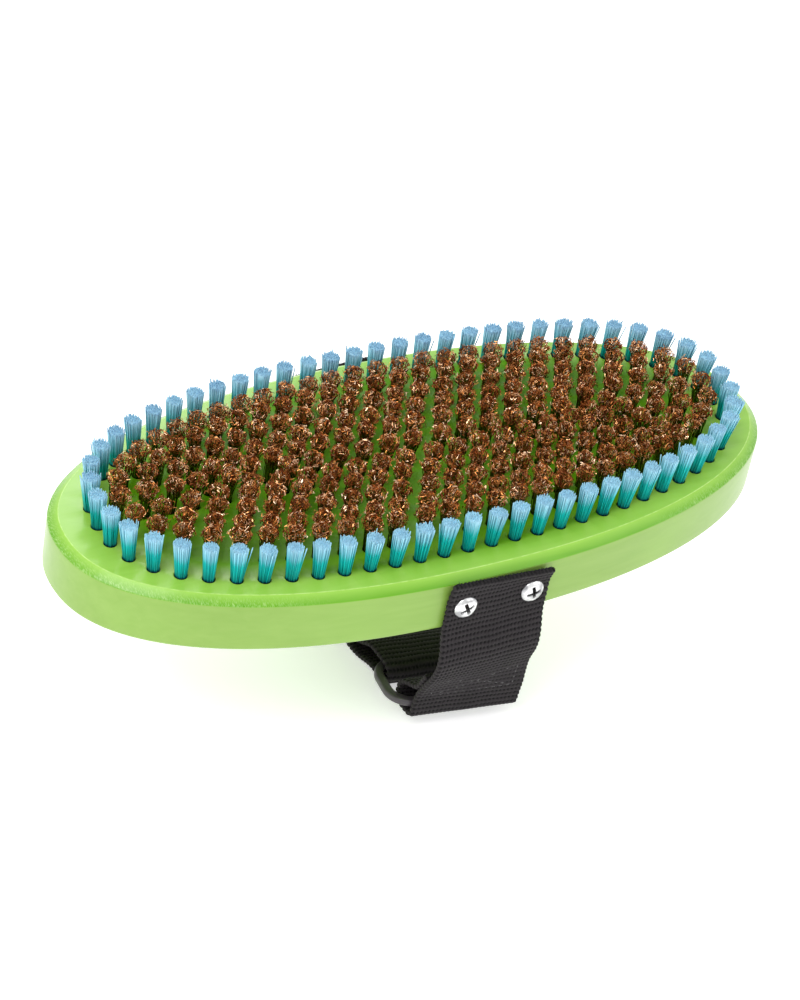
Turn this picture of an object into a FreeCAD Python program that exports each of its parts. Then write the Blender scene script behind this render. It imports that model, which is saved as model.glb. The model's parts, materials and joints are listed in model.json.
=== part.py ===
import FreeCAD, Part
import math
import os

# Oval grooming brush lying bristles up on its hand strap.
# Millimetres. X runs along the block, Y across it, +Z out of the bristle face.
# The origin is on the ground plane, under the middle of the block.

V = FreeCAD.Vector

# ---------------------------------------------------------------- block
BLOCK_LENGTH = 205.0
BLOCK_WIDTH = 90.7
BLOCK_THICK = 16.0
OVAL_POWER = 2.2          # superellipse exponent of the block's outline
FACE_Z = 55.5             # height of the bristle face above the ground
CHAMFER_IN = 2.6
CHAMFER_DOWN = 1.9
BACK_EDGE = 1.0           # small chamfer on the back face's edge
OUTLINE_POINTS = 48

# ---------------------------------------------------------------- tufts
RING_COUNT = 62           # nylon tufts
RING_A = 90.9             # half length of the nylon tufts' oval
RING_B = 35.4
RING_POWER = 2.5
RING_PHASE = 0.69         # start of the first tuft, in tuft steps
NYLON_HOLE_R = 1.70
NYLON_ROOT_R = 1.65
NYLON_TIP_R = 2.45
NYLON_HEIGHT = 11.0
NYLON_LEAN = 0.011        # outward lean at the tip, as a share of the position

# copper ovals: half length, half width, outline exponent, tufts, first tuft in tuft steps
COPPER_RINGS = [
    (85.6, 28.8, 2.30, 56, 0.70),
    (77.9, 24.0, 2.37, 50, 0.67),
    (71.1, 17.9, 2.32, 44, 0.74),
    (64.6, 12.1, 2.05, 38, 0.79),
    (55.8, 6.5, 2.30, 32, 0.81),
]
CENTRE_COUNT = 12         # tufts in the straight row down the middle
CENTRE_PITCH = 7.4
CENTRE_SHIFT = 1.2        # the row's middle, along +X
COPPER_HOLE_R = 1.40
COPPER_ROOT_R = 1.35
COPPER_TIP_R = 2.10
COPPER_HEIGHT = 10.4
PARTING_SHIFT = 0.75      # extra half gap along the slanted parting line
PARTING_SLOPE = 0.70      # its run in X per unit of Y
PARTING_X = 0.8
PARTING_TOP = 16.0        # the parting line ends here, towards +Y
PARTING_FADE = 25.0

HOLE_DEPTH = 6.6
STAPLE_HEIGHT = 1.5
STAPLE_THICK = 0.4
STAPLE_GAP = 0.05

# ---------------------------------------------------------------- strap
WEB_WIDTH = 30.2
WEB_THICK = 1.6
WALL_GAP = 0.1            # between the block's wall and the webbing
STRAP_TOP = 1.2           # cut end of the webbing, below the bristle face
STRAP_TOP_SLANT = 1.3     # the cut end is slanted by this much each side
BEND_GAP = 0.4            # between the fixed end and the moving part of a strap
TWIST = math.radians(-9.0)  # the ring and the folds round it sit askew
FRONT_SHIFT = -1.4        # the front strap is fixed off the middle, along X ...
FOLD_SHIFT = -0.6         # ... and comes back towards it by its fold round the ring
RING_SHIFT = 0.9
WRAP_SHIFT = 0.6          # the rear strap follows the ring where it wraps round it

FRONT_BAR_Y = -38.5
FRONT_BAR_Z = 6.6
REAR_BAR_Y = -21.2
REAR_BAR_Z = 5.1

RING_LENGTH = 38.6
RING_WIDTH = 20.0
RING_BAR = 2.6            # width of the ring's section, in its own plane
RING_THICK = 2.2
RING_CORNER = 7.5         # outer corner radius

SCREW_SPACING = 19.6
SCREW_Z = 47.0
SCREW_HEAD_R = 3.4
SCREW_HEAD_H = 2.2
SCREW_SHANK_R = 1.6
SCREW_LENGTH = 15.0
SCREW_HOLE_R = 1.65
STRAP_HOLE_R = 1.9
SQUEEZE = 0.9             # how far a screw head is drawn into the webbing
SQUEEZE_MARGIN = 0.15
RECESS_SPAN = 3.6
RECESS_WIDTH = 0.9
RECESS_DEPTH = 1.1

THREAD = 0.5
PATCH_WIDTH = 26.0
PATCH_START = -3.5
PATCH_END = 19.0
PATCH_THICK = 0.95
PATCH_GAP = 0.35          # between the hook face and the loop face

os.makedirs("parts", exist_ok=True)


def save(name, shape):
    shape.exportStep("parts/" + name + ".step")


def power(value, exponent):
    return math.copysign(abs(value) ** exponent, value)


def oval_point(half_a, half_b, exponent, angle):
    x = half_a * power(math.cos(angle), 2.0 / exponent)
    y = half_b * power(math.sin(angle), 2.0 / exponent)
    return x, y


def oval_wire(half_a, half_b, exponent, z):
    points = []
    for i in range(OUTLINE_POINTS):
        x, y = oval_point(half_a, half_b, exponent, 2.0 * math.pi * i / OUTLINE_POINTS)
        points.append(V(x, y, z))
    curve = Part.BSplineCurve()
    curve.interpolate(Points=points, PeriodicFlag=True)
    return Part.Wire([curve.toShape()])


def spread(half_a, half_b, exponent, count, phase):
    """Evenly spaced points along an oval, measured by arc length from its +X end."""
    fine = 2000
    trail = [oval_point(half_a, half_b, exponent, 2.0 * math.pi * i / fine) for i in range(fine + 1)]
    lengths = [0.0]
    for i in range(fine):
        step = math.hypot(trail[i + 1][0] - trail[i][0], trail[i + 1][1] - trail[i][1])
        lengths.append(lengths[-1] + step)
    total = lengths[-1]
    found = []
    for k in range(count):
        target = ((k + phase) / count * total) % total
        i = 0
        while lengths[i + 1] < target:
            i += 1
        share = (target - lengths[i]) / (lengths[i + 1] - lengths[i])
        x = trail[i][0] + share * (trail[i + 1][0] - trail[i][0])
        y = trail[i][1] + share * (trail[i + 1][1] - trail[i][1])
        found.append((x, y))
    return found


def part_line(point):
    """Opens the slanted gap that runs across the copper field."""
    x, y = point
    if y > PARTING_TOP:
        return x, y
    offset = x - (PARTING_X + PARTING_SLOPE * y)
    side = 1.0 if offset > 0 else -1.0
    return x + side * PARTING_SHIFT * math.exp(-abs(offset) / PARTING_FADE), y


def copper_rows():
    rows = [spread(*ring) for ring in COPPER_RINGS]
    middle = (CENTRE_COUNT - 1) / 2.0
    rows.append([((i - middle) * CENTRE_PITCH + CENTRE_SHIFT, 0.0) for i in range(CENTRE_COUNT)])
    return [[part_line(point) for point in row] for row in rows]


def side_shift(side):
    """How far the strap on this side of the block is fixed off the middle."""
    return FRONT_SHIFT if side < 0 else 0.0


# ---------------------------------------------------------------- block and tufts
nylon_points = spread(RING_A, RING_B, RING_POWER, RING_COUNT, RING_PHASE)
copper_points = copper_rows()

half_a = BLOCK_LENGTH / 2.0
half_b = BLOCK_WIDTH / 2.0
back_z = FACE_Z - BLOCK_THICK
block = Part.makeLoft([
    oval_wire(half_a - BACK_EDGE, half_b - BACK_EDGE, OVAL_POWER, back_z),
    oval_wire(half_a, half_b, OVAL_POWER, back_z + BACK_EDGE),
    oval_wire(half_a, half_b, OVAL_POWER, FACE_Z - CHAMFER_DOWN),
    oval_wire(half_a - CHAMFER_IN, half_b - CHAMFER_IN, OVAL_POWER, FACE_Z),
], True, True)

drills = []
for x, y in nylon_points:
    drills.append(Part.makeCylinder(NYLON_HOLE_R, HOLE_DEPTH + 1.0, V(x, y, FACE_Z - HOLE_DEPTH)))
for row in copper_points:
    for x, y in row:
        drills.append(Part.makeCylinder(COPPER_HOLE_R, HOLE_DEPTH + 1.0, V(x, y, FACE_Z - HOLE_DEPTH)))
for side in (-1.0, 1.0):
    for end in (-0.5, 0.5):
        start = V(end * SCREW_SPACING + side_shift(side), side * (half_b + 1.0), SCREW_Z)
        drills.append(Part.makeCylinder(SCREW_HOLE_R, SCREW_LENGTH + 1.5, start, V(0, -side, 0)))
save("wooden_block", block.cut(Part.makeCompound(drills)))


def tuft(x, y, lean_x, lean_y, root_r, tip_r, height):
    """A bundle of filaments: straight in its hole, flaring above the face, domed at the tip."""
    foot = FACE_Z - HOLE_DEPTH + 2.0 * STAPLE_GAP + STAPLE_HEIGHT
    dome = 0.35 * tip_r
    levels = [
        (foot, root_r, 0.0),
        (FACE_Z, root_r, 0.0),
        (FACE_Z + height - dome, tip_r, 1.0),
        (FACE_Z + height, tip_r * 0.62, 1.0),
    ]
    rings = []
    for z, radius, share in levels:
        centre = V(x + lean_x * share, y + lean_y * share, z)
        rings.append(Part.Wire([Part.makeCircle(radius, centre)]))
    return Part.makeLoft(rings, True, True)


def staple(x, y, hole_r):
    """The flat wire that pins a folded bundle at the bottom of its hole."""
    width = 2.0 * (hole_r - 0.1)
    corner = V(x - width / 2.0, y - STAPLE_THICK / 2.0, FACE_Z - HOLE_DEPTH + STAPLE_GAP)
    return Part.makeBox(width, STAPLE_THICK, STAPLE_HEIGHT, corner)


save("nylon_tufts_outer_ring", Part.makeCompound([
    tuft(x, y, x * NYLON_LEAN, y * NYLON_LEAN, NYLON_ROOT_R, NYLON_TIP_R, NYLON_HEIGHT)
    for x, y in nylon_points
]))
save("nylon_tuft_staples", Part.makeCompound([staple(x, y, NYLON_HOLE_R) for x, y in nylon_points]))

copper_names = ["copper_tufts_ring_%d" % (k + 1) for k in range(len(COPPER_RINGS))]
copper_names.append("copper_tufts_centre_row")
for name, row in zip(copper_names, copper_points):
    save(name, Part.makeCompound([
        tuft(x, y, 0.0, 0.0, COPPER_ROOT_R, COPPER_TIP_R, COPPER_HEIGHT) for x, y in row
    ]))
save("copper_tuft_staples", Part.makeCompound([
    staple(x, y, COPPER_HOLE_R) for row in copper_points for x, y in row
]))


# ---------------------------------------------------------------- webbing
def across(twist):
    return V(math.cos(twist), math.sin(twist), 0.0)


def tangents(path):
    """Unit tangents in the YZ plane of a path of (y, z) points."""
    found = []
    for i in range(len(path)):
        a = path[max(i - 1, 0)]
        b = path[min(i + 1, len(path) - 1)]
        size = math.hypot(b[0] - a[0], b[1] - a[1])
        found.append(((b[0] - a[0]) / size, (b[1] - a[1]) / size))
    return found


def ribbon(path, twists, shifts, width, thick):
    """Webbing that follows a path of (y, z) points, turned about +Z and shifted along X."""
    sections = []
    for (y, z), (ty, tz), twist, shift in zip(path, tangents(path), twists, shifts):
        side = across(twist) * (width / 2.0)
        out = V(0.0, -tz, ty) * (thick / 2.0)
        middle = V(shift, y, z)
        corners = [middle - side - out, middle + side - out, middle + side + out, middle - side + out]
        sections.append(Part.makePolygon(corners + [corners[0]]))
    return Part.makeLoft(sections, True, True)


def bend(centre, radius, start_deg, end_deg, steps):
    """Points on an arc in the YZ plane; angles are measured from +Y towards +Z."""
    points = []
    for i in range(steps + 1):
        angle = math.radians(start_deg + (end_deg - start_deg) * i / steps)
        points.append((centre[0] + radius * math.cos(angle), centre[1] + radius * math.sin(angle)))
    return points


def blend_between(value, start, end):
    """0 before start, 1 after end, easing between them."""
    share = (value - start) / (end - start)
    share = min(max(share, 0.0), 1.0)
    return share * share * (3.0 - 2.0 * share)


def smooth(points, per_span):
    """A smooth curve through (y, z) points, sampled evenly in each span."""
    curve = Part.BSplineCurve()
    curve.interpolate([V(0.0, y, z) for y, z in points])
    first, last = curve.FirstParameter, curve.LastParameter
    count = per_span * (len(points) - 1)
    found = []
    for i in range(count + 1):
        place = curve.value(first + (last - first) * i / count)
        found.append((place.y, place.z))
    return found


wall = half_b + WALL_GAP + WEB_THICK / 2.0      # webbing's middle, off the block's middle plane
top_z = FACE_Z - STRAP_TOP


def anchor_end(side):
    """The fixed end of a strap, flat against the block's wall, with its slanted cut and two holes."""
    low = back_z
    middle = side_shift(side)
    left = middle - WEB_WIDTH / 2.0
    right = middle + WEB_WIDTH / 2.0
    outline = [
        V(left, 0.0, low),
        V(right, 0.0, low),
        V(right, 0.0, top_z - STRAP_TOP_SLANT),
        V(left, 0.0, top_z + STRAP_TOP_SLANT * 0.6),
    ]
    start = side * (half_b + WALL_GAP)
    for corner in outline:
        corner.y = start
    face = Part.Face(Part.makePolygon(outline + [outline[0]]))
    solid = face.extrude(V(0.0, side * WEB_THICK, 0.0))
    for end in (-0.5, 0.5):
        base = V(end * SCREW_SPACING + middle, side * (half_b - 1.0), SCREW_Z)
        solid = solid.cut(Part.makeCylinder(STRAP_HOLE_R, WEB_THICK + 3.0, base, V(0.0, side, 0.0)))
        base.y = side * (half_b + WALL_GAP + WEB_THICK - SQUEEZE)
        dent_r = SCREW_HEAD_R + SQUEEZE_MARGIN
        solid = solid.cut(Part.makeCylinder(dent_r, WEB_THICK, base, V(0.0, side, 0.0)))
    return solid


save("front_strap_anchor_end", anchor_end(-1.0))
save("rear_strap_anchor_end", anchor_end(1.0))


def screw(x, side):
    """A pan-head wood screw with a cross recess, driven towards the block's middle."""
    seat = side * (half_b + WALL_GAP + WEB_THICK - SQUEEZE + 0.02)
    out = V(0.0, side, 0.0)
    base = V(x, seat, SCREW_Z)
    rim = 0.45 * SCREW_HEAD_H
    head = Part.makeCylinder(SCREW_HEAD_R, rim, base, out)
    top = Part.makeCone(SCREW_HEAD_R, SCREW_HEAD_R * 0.62, SCREW_HEAD_H - rim, base + out * rim, out)
    shank_length = SCREW_LENGTH - 4.0
    shank = Part.makeCylinder(SCREW_SHANK_R, shank_length, base, out * -1.0)
    tip = Part.makeCone(SCREW_SHANK_R, 0.2, 4.0, base - out * shank_length, out * -1.0)
    solid = head.fuse([top, shank, tip])
    depth_start = seat + side * (SCREW_HEAD_H - RECESS_DEPTH)
    for span_x, span_z in ((RECESS_SPAN, RECESS_WIDTH), (RECESS_WIDTH, RECESS_SPAN)):
        low_y = min(depth_start, depth_start + side * 2.0 * RECESS_DEPTH)
        corner = V(x - span_x / 2.0, low_y, SCREW_Z - span_z / 2.0)
        solid = solid.cut(Part.makeBox(span_x, 2.0 * RECESS_DEPTH, span_z, corner))
    return solid.removeSplitter()


for name, side in (("front_strap_screws", -1.0), ("rear_strap_screws", 1.0)):
    middle = side_shift(side)
    save(name, Part.makeCompound([screw(middle + end * SCREW_SPACING, side) for end in (-0.5, 0.5)]))

# ---------------------------------------------------------------- front strap, hanging part
hem_top_z = 21.5
layer = WEB_THICK + 0.1
front_outer = smooth([
    (-wall, back_z - BEND_GAP),
    (-wall - 1.0, 34.0),
    (-wall - 1.2, 28.5),
    (-wall + 1.1, 22.0),
    (-wall + 3.3, 16.0),
    (-wall + 4.5, 11.0),
    (FRONT_BAR_Y - 2.7, 7.0),
], 4)
fold = [
    (FRONT_BAR_Y - 2.55, 5.6),
    (FRONT_BAR_Y - 2.05, 4.5),
    (FRONT_BAR_Y - 1.1, 4.1),
    (FRONT_BAR_Y + 1.7, 3.9),
    (FRONT_BAR_Y + 3.7, 4.1),
    (FRONT_BAR_Y + 4.8, 5.1),
    (FRONT_BAR_Y + 5.1, 6.4),
]
front_inner = smooth([
    (FRONT_BAR_Y + 5.1, 7.6),
    (FRONT_BAR_Y + 4.4, 9.9),
    (FRONT_BAR_Y + 1.5, 12.4),
    (-wall + 3.3 + layer + 0.25, 15.0),
    (-wall + 2.3 + layer + 0.15, 18.5),
    (-wall + 1.4 + layer + 0.12, hem_top_z),
], 4)
front_path = front_outer + fold + front_inner


def front_twist(z):
    return TWIST * blend_between(-z, -24.0, -10.0)


def front_shift(z):
    return FRONT_SHIFT + (FOLD_SHIFT - FRONT_SHIFT) * blend_between(-z, -32.0, -10.0)


front_strap = ribbon(front_path, [front_twist(z) for y, z in front_path],
                     [front_shift(z) for y, z in front_path], WEB_WIDTH, WEB_THICK)
save("front_strap_hanging_part", front_strap)

stitch_top = 20.5
stitch_low = 12.5
stitch_half = 11.5


def front_surface(x, z):
    """A point just off the hanging strap's outer face, at a height and a distance across."""
    y = front_outer[-1][0]
    for (y0, z0), (y1, z1) in zip(front_outer, front_outer[1:]):
        if z1 <= z <= z0:
            y = y0 + (y1 - y0) * (z0 - z) / (z0 - z1)
    return V(front_shift(z), y - WEB_THICK / 2.0 - 0.14, z) + across(front_twist(z)) * x


def seam(x0, z0, x1, z1, pieces):
    """A run of thread between two places on the hanging strap's outer face."""
    sections = []
    run_x = x1 - x0
    run_z = z1 - z0
    size = math.hypot(run_x, run_z)
    for i in range(pieces + 1):
        share = i / pieces
        side_x = -run_z / size * THREAD / 2.0
        side_z = run_x / size * THREAD / 2.0
        x = x0 + run_x * share
        z = z0 + run_z * share
        a = front_surface(x - side_x, z - side_z)
        b = front_surface(x + side_x, z + side_z)
        off = V(0.0, -0.35, 0.0)
        sections.append(Part.makePolygon([a, b, b + off, a + off, a]))
    return Part.makeLoft(sections, True, True)


gap = THREAD
box_seams = [
    seam(-stitch_half, stitch_top, stitch_half, stitch_top, 1),
    seam(-stitch_half, stitch_low, stitch_half, stitch_low, 1),
    seam(-stitch_half, stitch_top - gap, -stitch_half, stitch_low + gap, 8),
    seam(stitch_half, stitch_top - gap, stitch_half, stitch_low + gap, 8),
    seam(-stitch_half + 2 * gap, stitch_top - gap, stitch_half - 2 * gap, stitch_low + gap, 12),
    seam(-stitch_half + 2 * gap, stitch_low + gap, -2.0 * gap, (stitch_top + stitch_low) / 2 - gap, 6),
    seam(2.0 * gap, (stitch_top + stitch_low) / 2 + gap, stitch_half - 2 * gap, stitch_top - gap, 6),
]
save("hem_box_stitching", Part.makeCompound(box_seams))

# ---------------------------------------------------------------- oval ring
tilt = math.atan2(REAR_BAR_Z - FRONT_BAR_Z, REAR_BAR_Y - FRONT_BAR_Y)
ring_y = (FRONT_BAR_Y + REAR_BAR_Y) / 2.0
ring_z = (FRONT_BAR_Z + REAR_BAR_Z) / 2.0


def rounded_plate(length, width, corner, thick):
    plate = Part.makeBox(length, width, thick, V(-length / 2.0, -width / 2.0, -thick / 2.0))
    upright = [e for e in plate.Edges if abs(e.Vertexes[0].X - e.Vertexes[1].X) < 1e-6
               and abs(e.Vertexes[0].Y - e.Vertexes[1].Y) < 1e-6]
    return plate.makeFillet(corner, upright)


ring = rounded_plate(RING_LENGTH, RING_WIDTH, RING_CORNER, RING_THICK)
hole = rounded_plate(RING_LENGTH - 2 * RING_BAR, RING_WIDTH - 2 * RING_BAR, RING_CORNER - RING_BAR,
                     2 * RING_THICK)
ring = ring.cut(hole)
ring = ring.makeFillet(0.5, [e for e in ring.Edges if abs(abs(e.BoundBox.ZMin) - RING_THICK / 2) < 1e-6
                             and abs(e.BoundBox.ZMin - e.BoundBox.ZMax) < 1e-6])
ring.rotate(V(0, 0, 0), V(1, 0, 0), math.degrees(tilt))
ring.rotate(V(0, 0, 0), V(0, 0, 1), math.degrees(TWIST))
ring.translate(V(RING_SHIFT, ring_y, ring_z))
save("oval_ring", ring)

# ---------------------------------------------------------------- rear strap
floor_z = WEB_THICK / 2.0
wrap_r = 2.1 + WEB_THICK / 2.0
wrap_y = REAR_BAR_Y - 2.5
wrap = bend((wrap_y, REAR_BAR_Z - 0.1), wrap_r, -90.0, -270.0, 12)
rear_outer = smooth([
    (wall, back_z - BEND_GAP),
    (wall + 0.4, 34.5),
    (wall - 0.6, 26.0),
    (wall - 4.8, 16.5),
    (wall - 12.0, 7.5),
    (wall - 19.0, 2.5),
    (wall - 25.5, floor_z + 0.12),
], 4)
rear_low = smooth([
    (-9.0, floor_z + 0.02),
    (-13.0, floor_z + 0.35),
    (-18.0, wrap[0][1] - 0.1),
    (wrap[0][0], wrap[0][1]),
], 4)
tail_split = REAR_BAR_Y + 0.7
rear_flat = [(19.6, floor_z), (8.0, floor_z), (-4.0, floor_z), (-7.0, floor_z)]
rear_path = rear_outer + rear_flat + rear_low + wrap[1:] + [(tail_split - BEND_GAP / 2.0, wrap[-1][1])]


def rear_twist(y):
    return TWIST * blend_between(-y, 5.0, 18.0)


def rear_shift(y):
    return WRAP_SHIFT * blend_between(-y, 5.0, 18.0)


save("rear_strap_hand_loop", ribbon(rear_path, [rear_twist(y) for y, z in rear_path],
                                    [rear_shift(y) for y, z in rear_path], WEB_WIDTH, WEB_THICK))

loop_low = WEB_THICK + 0.02
loop_top = loop_low + PATCH_THICK
hook_low = loop_top + PATCH_GAP
hook_top = hook_low + PATCH_THICK
tail_mid = hook_top + 0.02 + WEB_THICK / 2.0
tail_path = smooth([
    (tail_split + BEND_GAP / 2.0, wrap[-1][1]),
    (-16.0, wrap[-1][1] - 0.35),
    (-10.5, tail_mid + 0.9),
    (PATCH_START - 1.5, tail_mid),
], 4) + [(4.0, tail_mid), (12.0, tail_mid), (PATCH_END + 3.0, tail_mid)]
save("rear_strap_tail_end", ribbon(tail_path, [rear_twist(y) for y, z in tail_path],
                                   [rear_shift(y) for y, z in tail_path], WEB_WIDTH, WEB_THICK))


def patch(low):
    length = PATCH_END - PATCH_START
    return Part.makeBox(PATCH_WIDTH, length, PATCH_THICK, V(-PATCH_WIDTH / 2.0, PATCH_START, low))


# the patches' threads lie in grooves cut round their faces
def patch_seam(low, height):
    inset = 1.6
    outer = Part.makeBox(PATCH_WIDTH - 2 * inset, PATCH_END - PATCH_START - 2 * inset, height,
                         V(-PATCH_WIDTH / 2.0 + inset, PATCH_START + inset, low))
    wide = inset + THREAD
    inner = Part.makeBox(PATCH_WIDTH - 2 * wide, PATCH_END - PATCH_START - 2 * wide, height,
                         V(-PATCH_WIDTH / 2.0 + wide, PATCH_START + wide, low))
    return outer.cut(inner)


def groove(low, height):
    inset = 1.55
    outer = Part.makeBox(PATCH_WIDTH - 2 * inset, PATCH_END - PATCH_START - 2 * inset, height,
                         V(-PATCH_WIDTH / 2.0 + inset, PATCH_START + inset, low))
    wide = inset + THREAD + 0.1
    inner = Part.makeBox(PATCH_WIDTH - 2 * wide, PATCH_END - PATCH_START - 2 * wide, height,
                         V(-PATCH_WIDTH / 2.0 + wide, PATCH_START + wide, low))
    return outer.cut(inner)


groove_deep = 0.45
save("loop_patch", patch(loop_low).cut(groove(loop_top - groove_deep, groove_deep + 0.1)))
save("loop_patch_stitching", patch_seam(loop_top - groove_deep + 0.03, groove_deep - 0.08))
save("hook_patch", patch(hook_low).cut(groove(hook_low - 0.1, groove_deep + 0.1)))
save("hook_patch_stitching", patch_seam(hook_low + 0.05, groove_deep - 0.08))
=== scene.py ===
import json
import math

import bmesh
import bpy
import numpy as np
from mathutils import Matrix, Vector
from mathutils.geometry import delaunay_2d_cdt


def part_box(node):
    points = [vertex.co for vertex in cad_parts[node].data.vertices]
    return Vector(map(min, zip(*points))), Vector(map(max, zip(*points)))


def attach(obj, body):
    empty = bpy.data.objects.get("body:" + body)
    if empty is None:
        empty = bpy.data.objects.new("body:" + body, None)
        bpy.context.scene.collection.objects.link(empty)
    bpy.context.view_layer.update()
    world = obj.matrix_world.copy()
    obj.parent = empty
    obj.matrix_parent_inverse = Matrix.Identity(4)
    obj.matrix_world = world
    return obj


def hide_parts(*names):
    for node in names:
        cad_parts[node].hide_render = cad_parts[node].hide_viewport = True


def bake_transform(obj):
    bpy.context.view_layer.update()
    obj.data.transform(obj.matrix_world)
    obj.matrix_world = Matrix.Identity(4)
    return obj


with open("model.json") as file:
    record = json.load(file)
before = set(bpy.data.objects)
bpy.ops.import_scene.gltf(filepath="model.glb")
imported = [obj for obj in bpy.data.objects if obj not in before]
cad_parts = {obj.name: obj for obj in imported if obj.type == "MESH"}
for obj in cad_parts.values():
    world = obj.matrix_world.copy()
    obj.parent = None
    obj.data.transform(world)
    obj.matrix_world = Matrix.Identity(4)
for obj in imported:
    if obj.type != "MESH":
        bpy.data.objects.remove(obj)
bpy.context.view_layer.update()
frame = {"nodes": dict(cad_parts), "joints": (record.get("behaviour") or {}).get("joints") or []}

# Oval grooming brush, bristles up, on its hand strap. Metres, in the frame's axes: X along the
# block, Y across it, Z up. Lengths written as n * MM are millimetres.
MM = 0.001
JOINTS = {joint["name"]: joint for joint in frame["joints"]}
UV_NAME = "OFBake"

# ---------------------------------------------------------------- places taken from the frame
block_low, block_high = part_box("wooden_block")
FACE_Z = block_high.z
BACK_Z = block_low.z
HALF_LENGTH = (block_high.x - block_low.x) / 2
HALF_WIDTH = (block_high.y - block_low.y) / 2
strap_low, strap_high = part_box("front_strap_anchor_end")
WEB_WIDTH = strap_high.x - strap_low.x
WEB_THICK = strap_high.y - strap_low.y
STRAP_WALL = -(strap_low.y + strap_high.y) / 2      # the webbing's middle, off the block's middle
FRONT_SHIFT = (strap_low.x + strap_high.x) / 2      # the front strap is fixed off the middle
FOLD_SHIFT = -0.6 * MM                              # and comes back towards it by the ring
WRAP_SHIFT = 0.6 * MM                               # the rear strap's wrap follows the ring
SQUEEZE = 0.9 * MM                                  # how far a screw head is drawn into the webbing
RING_PIVOT = Vector(JOINTS["ring_swivel"]["pos_m"])
TWIST = math.atan2(JOINTS["ring_swivel"]["axis"][1], JOINTS["ring_swivel"]["axis"][0])


# ---------------------------------------------------------------- meshes
def new_piece(name, points, quads, triangles=None, uv=None, smooth=True):
    """A mesh object from arrays: points (n, 3), quads (n, 4), triangles (n, 3), uv per point."""
    triangles = np.zeros((0, 3), int) if triangles is None else np.asarray(triangles, int)
    quads = np.zeros((0, 4), int) if quads is None else np.asarray(quads, int)
    corners = np.concatenate([quads.ravel(), triangles.ravel()]).astype(np.int32)
    starts = np.concatenate([
        np.arange(len(quads)) * 4,
        len(quads) * 4 + np.arange(len(triangles)) * 3,
    ]).astype(np.int32)
    mesh = bpy.data.meshes.new(name)
    mesh.vertices.add(len(points))
    mesh.vertices.foreach_set("co", np.asarray(points, np.float32).ravel())
    mesh.loops.add(len(corners))
    mesh.loops.foreach_set("vertex_index", corners)
    mesh.polygons.add(len(starts))
    mesh.polygons.foreach_set("loop_start", starts)
    mesh.polygons.foreach_set("use_smooth", np.full(len(starts), smooth))
    if uv is not None:
        layer = mesh.uv_layers.new(name=UV_NAME)
        layer.data.foreach_set("uv", np.asarray(uv, np.float32)[corners].ravel())
    mesh.update(calc_edges=True)
    mesh.validate()
    piece = bpy.data.objects.new(name, mesh)
    bpy.context.scene.collection.objects.link(piece)
    return piece


def point_value(piece, name, values):
    """A number for each point, which the materials read by name."""
    attribute = piece.data.attributes.new(name, "FLOAT", "POINT")
    attribute.data.foreach_set("value", np.asarray(values, np.float32))


def joined(parts):
    """One set of arrays from several (points, quads, triangles, uv)."""
    points, quads, triangles, uvs, start = [], [], [], [], 0
    for part_points, part_quads, part_triangles, part_uv in parts:
        points.append(part_points)
        quads.append(np.asarray(part_quads, int).reshape(-1, 4) + start)
        triangles.append(np.asarray(part_triangles, int).reshape(-1, 3) + start)
        uvs.append(part_uv)
        start += len(part_points)
    return np.concatenate(points), np.concatenate(quads), np.concatenate(triangles), np.concatenate(uvs)


def level_points(places, z):
    """Points (n, 3) at height z over places (n, 2)."""
    return np.concatenate([places, np.full((len(places), 1), z)], 1)


def grid_quads(rows, columns, wrap=False):
    """Quads of a grid of points; wrap closes each row on itself."""
    across = np.arange(columns if wrap else columns - 1)
    down = np.arange(rows - 1)[:, None] * columns
    right = (across + 1) % columns
    return np.stack([down + across, down + right, down + columns + right, down + columns + across],
                    -1).reshape(-1, 4)


def end_fan(sides):
    """Triangles that close a ring of points from its first one."""
    return np.stack([np.zeros(sides - 2, int), np.arange(1, sides - 1), np.arange(2, sides)], -1)


def spokes_to(centre, start, count):
    """Triangles from the ring of count points that begins at start to the point at centre."""
    return [(start + i, start + (i + 1) % count, centre) for i in range(count)]


def strands(paths, radii, sides, turn, uv, planes=None):
    """Thin closed tubes along paths (n, m, 3): radii (n, m), turn (n,), uv (n, m, 2). Their rings lie
    level, or in planes given by two directions each, (n, 2, 3)."""
    count, steps = radii.shape
    angles = turn[:, None, None] + np.arange(sides) * (2 * math.pi / sides)
    planes = np.broadcast_to(np.eye(3)[:2], (count, 2, 3)) if planes is None else planes
    ring = (np.cos(angles)[..., None] * planes[:, 0][:, None, None, :]
            + np.sin(angles)[..., None] * planes[:, 1][:, None, None, :])
    points = paths[:, :, None, :] + ring * radii[:, :, None, None]
    start = np.arange(count)[:, None, None] * (steps * sides)
    walls = (start + grid_quads(steps, sides, wrap=True)[None]).reshape(-1, 4)
    fan = end_fan(sides)
    top = (start + (steps - 1) * sides + fan[None]).reshape(-1, 3)
    foot = (start + fan[None, :, ::-1]).reshape(-1, 3)
    spread_uv = np.repeat(uv[:, :, None, :], sides, axis=2)
    return points.reshape(-1, 3), walls, np.concatenate([top, foot]), spread_uv.reshape(-1, 2)


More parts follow.
